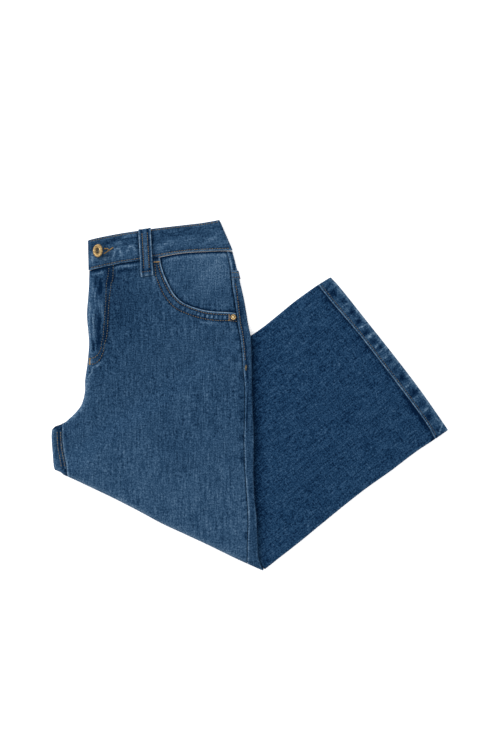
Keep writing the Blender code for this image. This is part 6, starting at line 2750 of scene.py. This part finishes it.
@dataclass
class Fastenings:
    """The shank button at the waist and the rivet at the pocket's lower end.

    Attributes:
        button: a domed rim round a flat middle, on a shank that reaches into the cloth.
        rivet: a low cap with a raised middle.
    """

    room: Workroom
    button: Stamped = Stamped(
        (
            (0.0, 1.5), (1.6, 1.4), (3.0, 1.3), (3.5, 1.6), (3.9, 2.5), (4.5, 2.9), (5.2, 2.7), (5.6, 2.5),
            (6.4, 2.9), (7.4, 2.9), (8.2, 2.2), (8.7, 1.2), (8.4, 0.5), (7.2, 0.2), (3.4, 0.0), (3.0, -1.4),
            (3.0, -2.6), (0.0, -2.6),
        ),
        centre=(-195.3, 187.5, 15.2), tilt=-40.0, grooves=26, depth=0.16, rim=(5.8, 8.0),
        # Darker: the tarnished recessed middle, and the rim's edge, where shade is painted
        dark=((0.0, 3.4), (8.4, 10.0)),
    )
    rivet: Stamped = Stamped(
        (
            (0.0, 1.9), (0.7, 1.8), (1.3, 1.5), (1.7, 1.0), (2.2, 1.1), (3.0, 1.3), (3.5, 1.0), (4.0, 0.45),
            (3.9, 0.1), (2.0, 0.0), (0.0, 0.0),
        ),
        centre=(-20.9, 101.7, 9.9), tilt=-20.0, grooves=24, depth=0.05, rim=(2.4, 3.4),
        # Darker: the tarnished groove round the middle, and the edge, where shade is painted; the raised
        # middle is painted with a highlight
        dark=((1.5, 2.1), (3.7, 5.0)), highlit_middle=1.5,
    )

    def build(self, name: str, shape: Stamped, node: str) -> bpy.types.Object:
        """Builds one of them: darker in its tarnished hollows and where shade is painted at its edge, pale
        where a highlight is painted on its middle.

        Args:
            name: the piece's name.
            shape: its form.
            node: the solid that it stands for.

        Returns:
            The piece.
        """
        finishes = self.room.finishes
        points, faces, across = shape.surface()
        made = self.room.piece(name, points, faces[:, ::-1], finishes.brass, Slot.BRASS, [node])
        for finish in (finishes.patina_and_edge_shade, finishes.highlight_brass):
            made.data.materials.append(finish)
        # Tarnished hollows and painted edge shade take the darker brass; the rivet's middle takes the pale
        # brass of a painted highlight
        dark = np.any([(across >= low) & (across < high) for low, high in shape.dark], axis=0)
        highlit_middle = (across > 0) & (across < shape.highlit_middle)
        made.data.polygons.foreach_set("material_index", np.where(highlit_middle, 2, dark).astype(np.int32))
        return made


# ------------------------------------------------------------------ sewing


@dataclass
class Sewing:
    """All the thread: one piece for each sub-assembly that it is sewn to.

    Attributes:
        room, panel, band, loop, hems, back, crotch: what it is sewn on.
        raised_by: how high the middle of a thread lies above the cloth.
        tack_raised_by: the same for a bar tack.
        fly_bend: how many of the fly's points belong to its bend.
        band_rows: how far across the waistband its rows are.
        tacks: the front panel's bar tacks, at the fly's foot and at both ends of the pocket's
            opening: start, end, and how wide each is.
        lips: the buttonhole's lips, one straight, one that bends in to meet it.
    """

    room: Workroom
    panel: FrontPanel
    band: Waistband
    loop: BeltLoop
    hems: Hems
    back: BackStrips
    crotch: CrotchStrips
    raised_by: float = 0.25
    tack_raised_by: float = 0.35
    fly_bend: int = 3
    band_rows: tuple[float, float] = (0.065, 0.945)
    tacks: tuple[tuple[tuple[float, float], tuple[float, float], float], ...] = (
        ((-207.2, 40.5), (-207.2, 48.3), 3.0), ((-26.3, 97.4), (-26.3, 105.4), 1.7),
        ((-124.0, 173.2), (-116.6, 173.6), 1.7),
    )
    lips: tuple[tuple[tuple[float, float], tuple[float, float], float], ...] = (
        ((-188.6, 184.1), (-177.1, 192.0), 1.7), ((-188.2, 190.6), (-184.2, 190.6), 1.7),
        ((-184.2, 190.6), (-182.0, 188.9), 1.7),
    )

    def thread(
        self, name: str, parts: Sequence[tuple[Array, Array]], finish: bpy.types.Material | None = None,
    ) -> bpy.types.Object:
        """Makes one piece of thread from stitches, ochre unless another finish is given."""
        points, faces = joined(parts)
        return self.room.piece(name, points, faces, finish or self.room.finishes.thread)

    def tack_on(
        self, height: Height, start: tuple[float, float], end: tuple[float, float], width: float,
    ) -> tuple[Array, Array]:
        """A bar tack on a face.

        Args:
            height: gives the face's heights.
            start, end: the ends of the line that it is sewn across.
            width: the length of its threads.

        Returns:
            Points and faces.
        """
        flat = np.array([start, end], float)
        ends = np.column_stack([flat, height(flat) + self.tack_raised_by])
        return Stitches().tack(ends[0], ends[1], width)

    def build_panel(self) -> bpy.types.Object:
        """The pocket's two rows, and the fly's round its bend.

        Returns:
            The piece.
        """
        lines = list(POCKET_ROWS) + [row[-self.fly_bend - 1 :] for row in FLY_ROWS]
        rows = [Stitches().row(on_face(line, self.panel.height, self.raised_by)) for line in lines]
        return self.thread("thread_front_panel", rows)

    def build_fly(self) -> bpy.types.Object:
        """The fly's two rows down to their bend, where the washing has faded them most."""
        lines = [on_face(row[: -self.fly_bend], self.panel.height, 0.2) for row in FLY_ROWS]
        return self.thread("thread_fly", [Stitches().row(line) for line in lines], self.room.finishes.faded)

    def build_tacks(self) -> bpy.types.Object:
        """The front panel's bar tacks."""
        parts = [self.tack_on(self.panel.height, *tack) for tack in self.tacks]
        return self.thread("thread_tacks", parts, self.room.finishes.tacks)

    def build_band(self) -> bpy.types.Object:
        """The waistband's two rows, laid between its edges.

        Returns:
            The piece.
        """
        parts, at = [], np.linspace(0.02, 0.985, 160)
        foot, top = along(smooth(BAND_FOOT), at), along(smooth(BAND_TOP), at)
        for share in self.band_rows:
            flat = (1 - share) * foot + share * top
            parts.append(Stitches(length=2.9).row(np.column_stack([flat, self.band.face(flat) + 0.2])))
        return self.thread("thread_waistband", parts)

    def build_buttonhole(self) -> bpy.types.Object:
        """The buttonhole's lips."""
        parts = [self.tack_on(self.band.face, *lip) for lip in self.lips]
        return self.thread("thread_buttonhole", parts, self.room.finishes.tacks)

    def build_loop(self) -> bpy.types.Object:
        """The belt loop's rows."""
        sew = Stitches(pitch=2.9, length=2.2)
        return self.thread("thread_belt_loop", [sew.row(row) for row in self.loop.rows()])

    def build_hem(self) -> bpy.types.Object:
        """The upper hem's row of chain stitches."""
        sew = Stitches(pitch=3.1, length=2.6, radius=0.42)
        return self.thread("thread_hem", [sew.row(self.hems.seam_line())], self.room.finishes.faded)

    def build_back(self) -> bpy.types.Object:
        """The side seam's topstitching, its bar tack, and the yoke seam's rows.

        Returns:
            The piece.
        """
        sew, face = Stitches(), self.room.lie.body_face
        parts = [sew.row(on_face(SIDE_TOPSTITCH, face, self.raised_by))]
        parts.append(self.tack_on(face, (-5.0, 33.0), (-4.4, 39.4), 2.6))
        grid = self.back.band_grid()
        parts += [sew.row(grid[row, 1:-1] + [0.0, 0.0, 0.2]) for row in (3, len(grid) - 4)]
        return self.thread("thread_side_seam", parts)

    def build_crotch(self) -> bpy.types.Object:
        """The inseam's two rows, along columns of the felled seam's grid.

        Returns:
            The piece.
        """
        grid, sew = self.crotch.seam_grid(), Stitches(length=2.8)
        parts = [sew.row(grid[1:-1, column] + [0.0, 0.0, 0.3]) for column in (2, grid.shape[1] - 3)]
        return self.thread("thread_inseam", parts)

    def build(self) -> list[bpy.types.Object]:
        """Builds all the pieces of thread."""
        return [
            self.build_panel(), self.build_fly(), self.build_tacks(), self.build_band(),
            self.build_buttonhole(), self.build_loop(), self.build_hem(), self.build_back(),
            self.build_crotch(),
        ]


# ------------------------------------------------------------------ studio


@dataclass(frozen=True)
class Studio:
    """A pale floor, soft light from the upper left, and the camera straight above.

    Attributes:
        centre: the point under the camera.
        distance: from the camera to the cloth.
        cloth: how high the cloth's upper face is.
        lens: the camera's focal length.
        floor_half: half the floor's side, in metres.
        floor_sink: how far it lies below the jeans, in metres.
        boxes: the soft boxes' names, places in metres, sizes in metres and powers in watts.
    """

    centre: tuple[float, float] = (0.65, 26.65)
    distance: float = 2295.0
    cloth: float = 12.0
    lens: float = 85.0
    floor_half: float = 6.0
    floor_sink: float = 0.0004
    boxes: tuple[tuple[str, tuple[float, float, float], float, float], ...] = (
        ("soft_box_left", (-1.7, 1.3, 1.7), 1.6, 50.0), ("soft_box_right", (1.8, -0.8, 2.2), 2.0, 8.0),
    )

    def floor(self) -> None:
        """Lays the floor: white paper that glows faintly, as on a light table."""
        mesh = bpy.data.meshes.new("floor")
        half = self.floor_half
        corners = ((-half, -half), (half, -half), (half, half), (-half, half))
        mesh.from_pydata([(x, y, -self.floor_sink) for x, y in corners], [], [(0, 1, 2, 3)])
        paper, _ = mottled_material("matt_white_paper", 1000 / 60, 4.0, ((0.0, "fafafa"), (1.0, "fefefe")), {
            "Roughness": 0.9, "Emission Color": linear("ffffff"), "Emission Strength": 0.35,
        })
        mesh.materials.append(paper)
        plane = bpy.data.objects.new("floor", mesh)
        bpy.context.scene.collection.objects.link(plane)

    def light(self, name: str, place: tuple[float, float, float], size: float, power: float) -> None:
        """Hangs one square soft box that faces the jeans.

        Args:
            name: its name.
            place: where it hangs.
            size: its side.
            power: its power.
        """
        lamp = bpy.data.lights.new(name, "AREA")
        lamp.shape, lamp.size, lamp.energy = "SQUARE", size, power
        made = bpy.data.objects.new(name, lamp)
        x, y, z = made.location = place
        made.rotation_euler = (math.atan2(math.hypot(x, y), z), 0.0, math.atan2(y, x) + math.pi / 2)
        bpy.context.scene.collection.objects.link(made)

    def world(self) -> None:
        """Lights the jeans evenly from all round."""
        world = bpy.data.worlds.new("studio")
        world.use_nodes = True
        set_inputs(world.node_tree.nodes["Background"], {"Color": linear("ffffff"), "Strength": 0.95})
        bpy.context.scene.world = world

    def camera(self) -> None:
        """Sets up the camera."""
        lens = bpy.data.cameras.new("camera")
        lens.lens, lens.sensor_width, lens.clip_end = self.lens, 36.0, 20.0
        camera = bpy.data.objects.new("camera", lens)
        camera.location = (self.centre[0] * MM, self.centre[1] * MM, (self.distance + self.cloth) * MM)
        bpy.context.scene.collection.objects.link(camera)
        bpy.context.scene.camera = camera

    def build(self) -> None:
        """Sets up floor, lights, world and camera."""
        self.floor()
        for box in self.boxes:
            self.light(*box)
        self.world()
        bpy.context.scene.view_settings.view_transform = "Standard"
        self.camera()


# ------------------------------------------------------------------ the whole


def main() -> None:
    """Builds every sub-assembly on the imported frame."""
    logging.basicConfig(level=logging.INFO, format="%(name)s: %(message)s")
    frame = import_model()
    LOG.info("frame holds %d solids", len(frame["nodes"]))
    Studio().build()
    room = Workroom(Lie(), Finishes())
    panel, back, crotch = FrontPanel(room), BackStrips(room), CrotchStrips(room)
    band, loop, hems, hidden = Waistband(room), BeltLoop(room), Hems(room), HiddenLayers(room)
    metal = Fastenings(room)
    made = [
        crotch.build(), crotch.build_seam(), panel.build(), PocketFacing(room).build(),
        back.build_yoke(), back.build_band(), back.build_back(), LegPanel(room).build(), band.build(),
        hems.build(Leg.LEFT), hems.build(Leg.RIGHT), loop.build(), hidden.build_body(), hidden.build_legs(),
        metal.build("shank_button", metal.button, "button"),
        metal.build("pocket_rivet", metal.rivet, "rivet"),
    ]
    made += Sewing(room, panel, band, loop, hems, back, crotch).build()


if __name__ == "__main__":
    main()
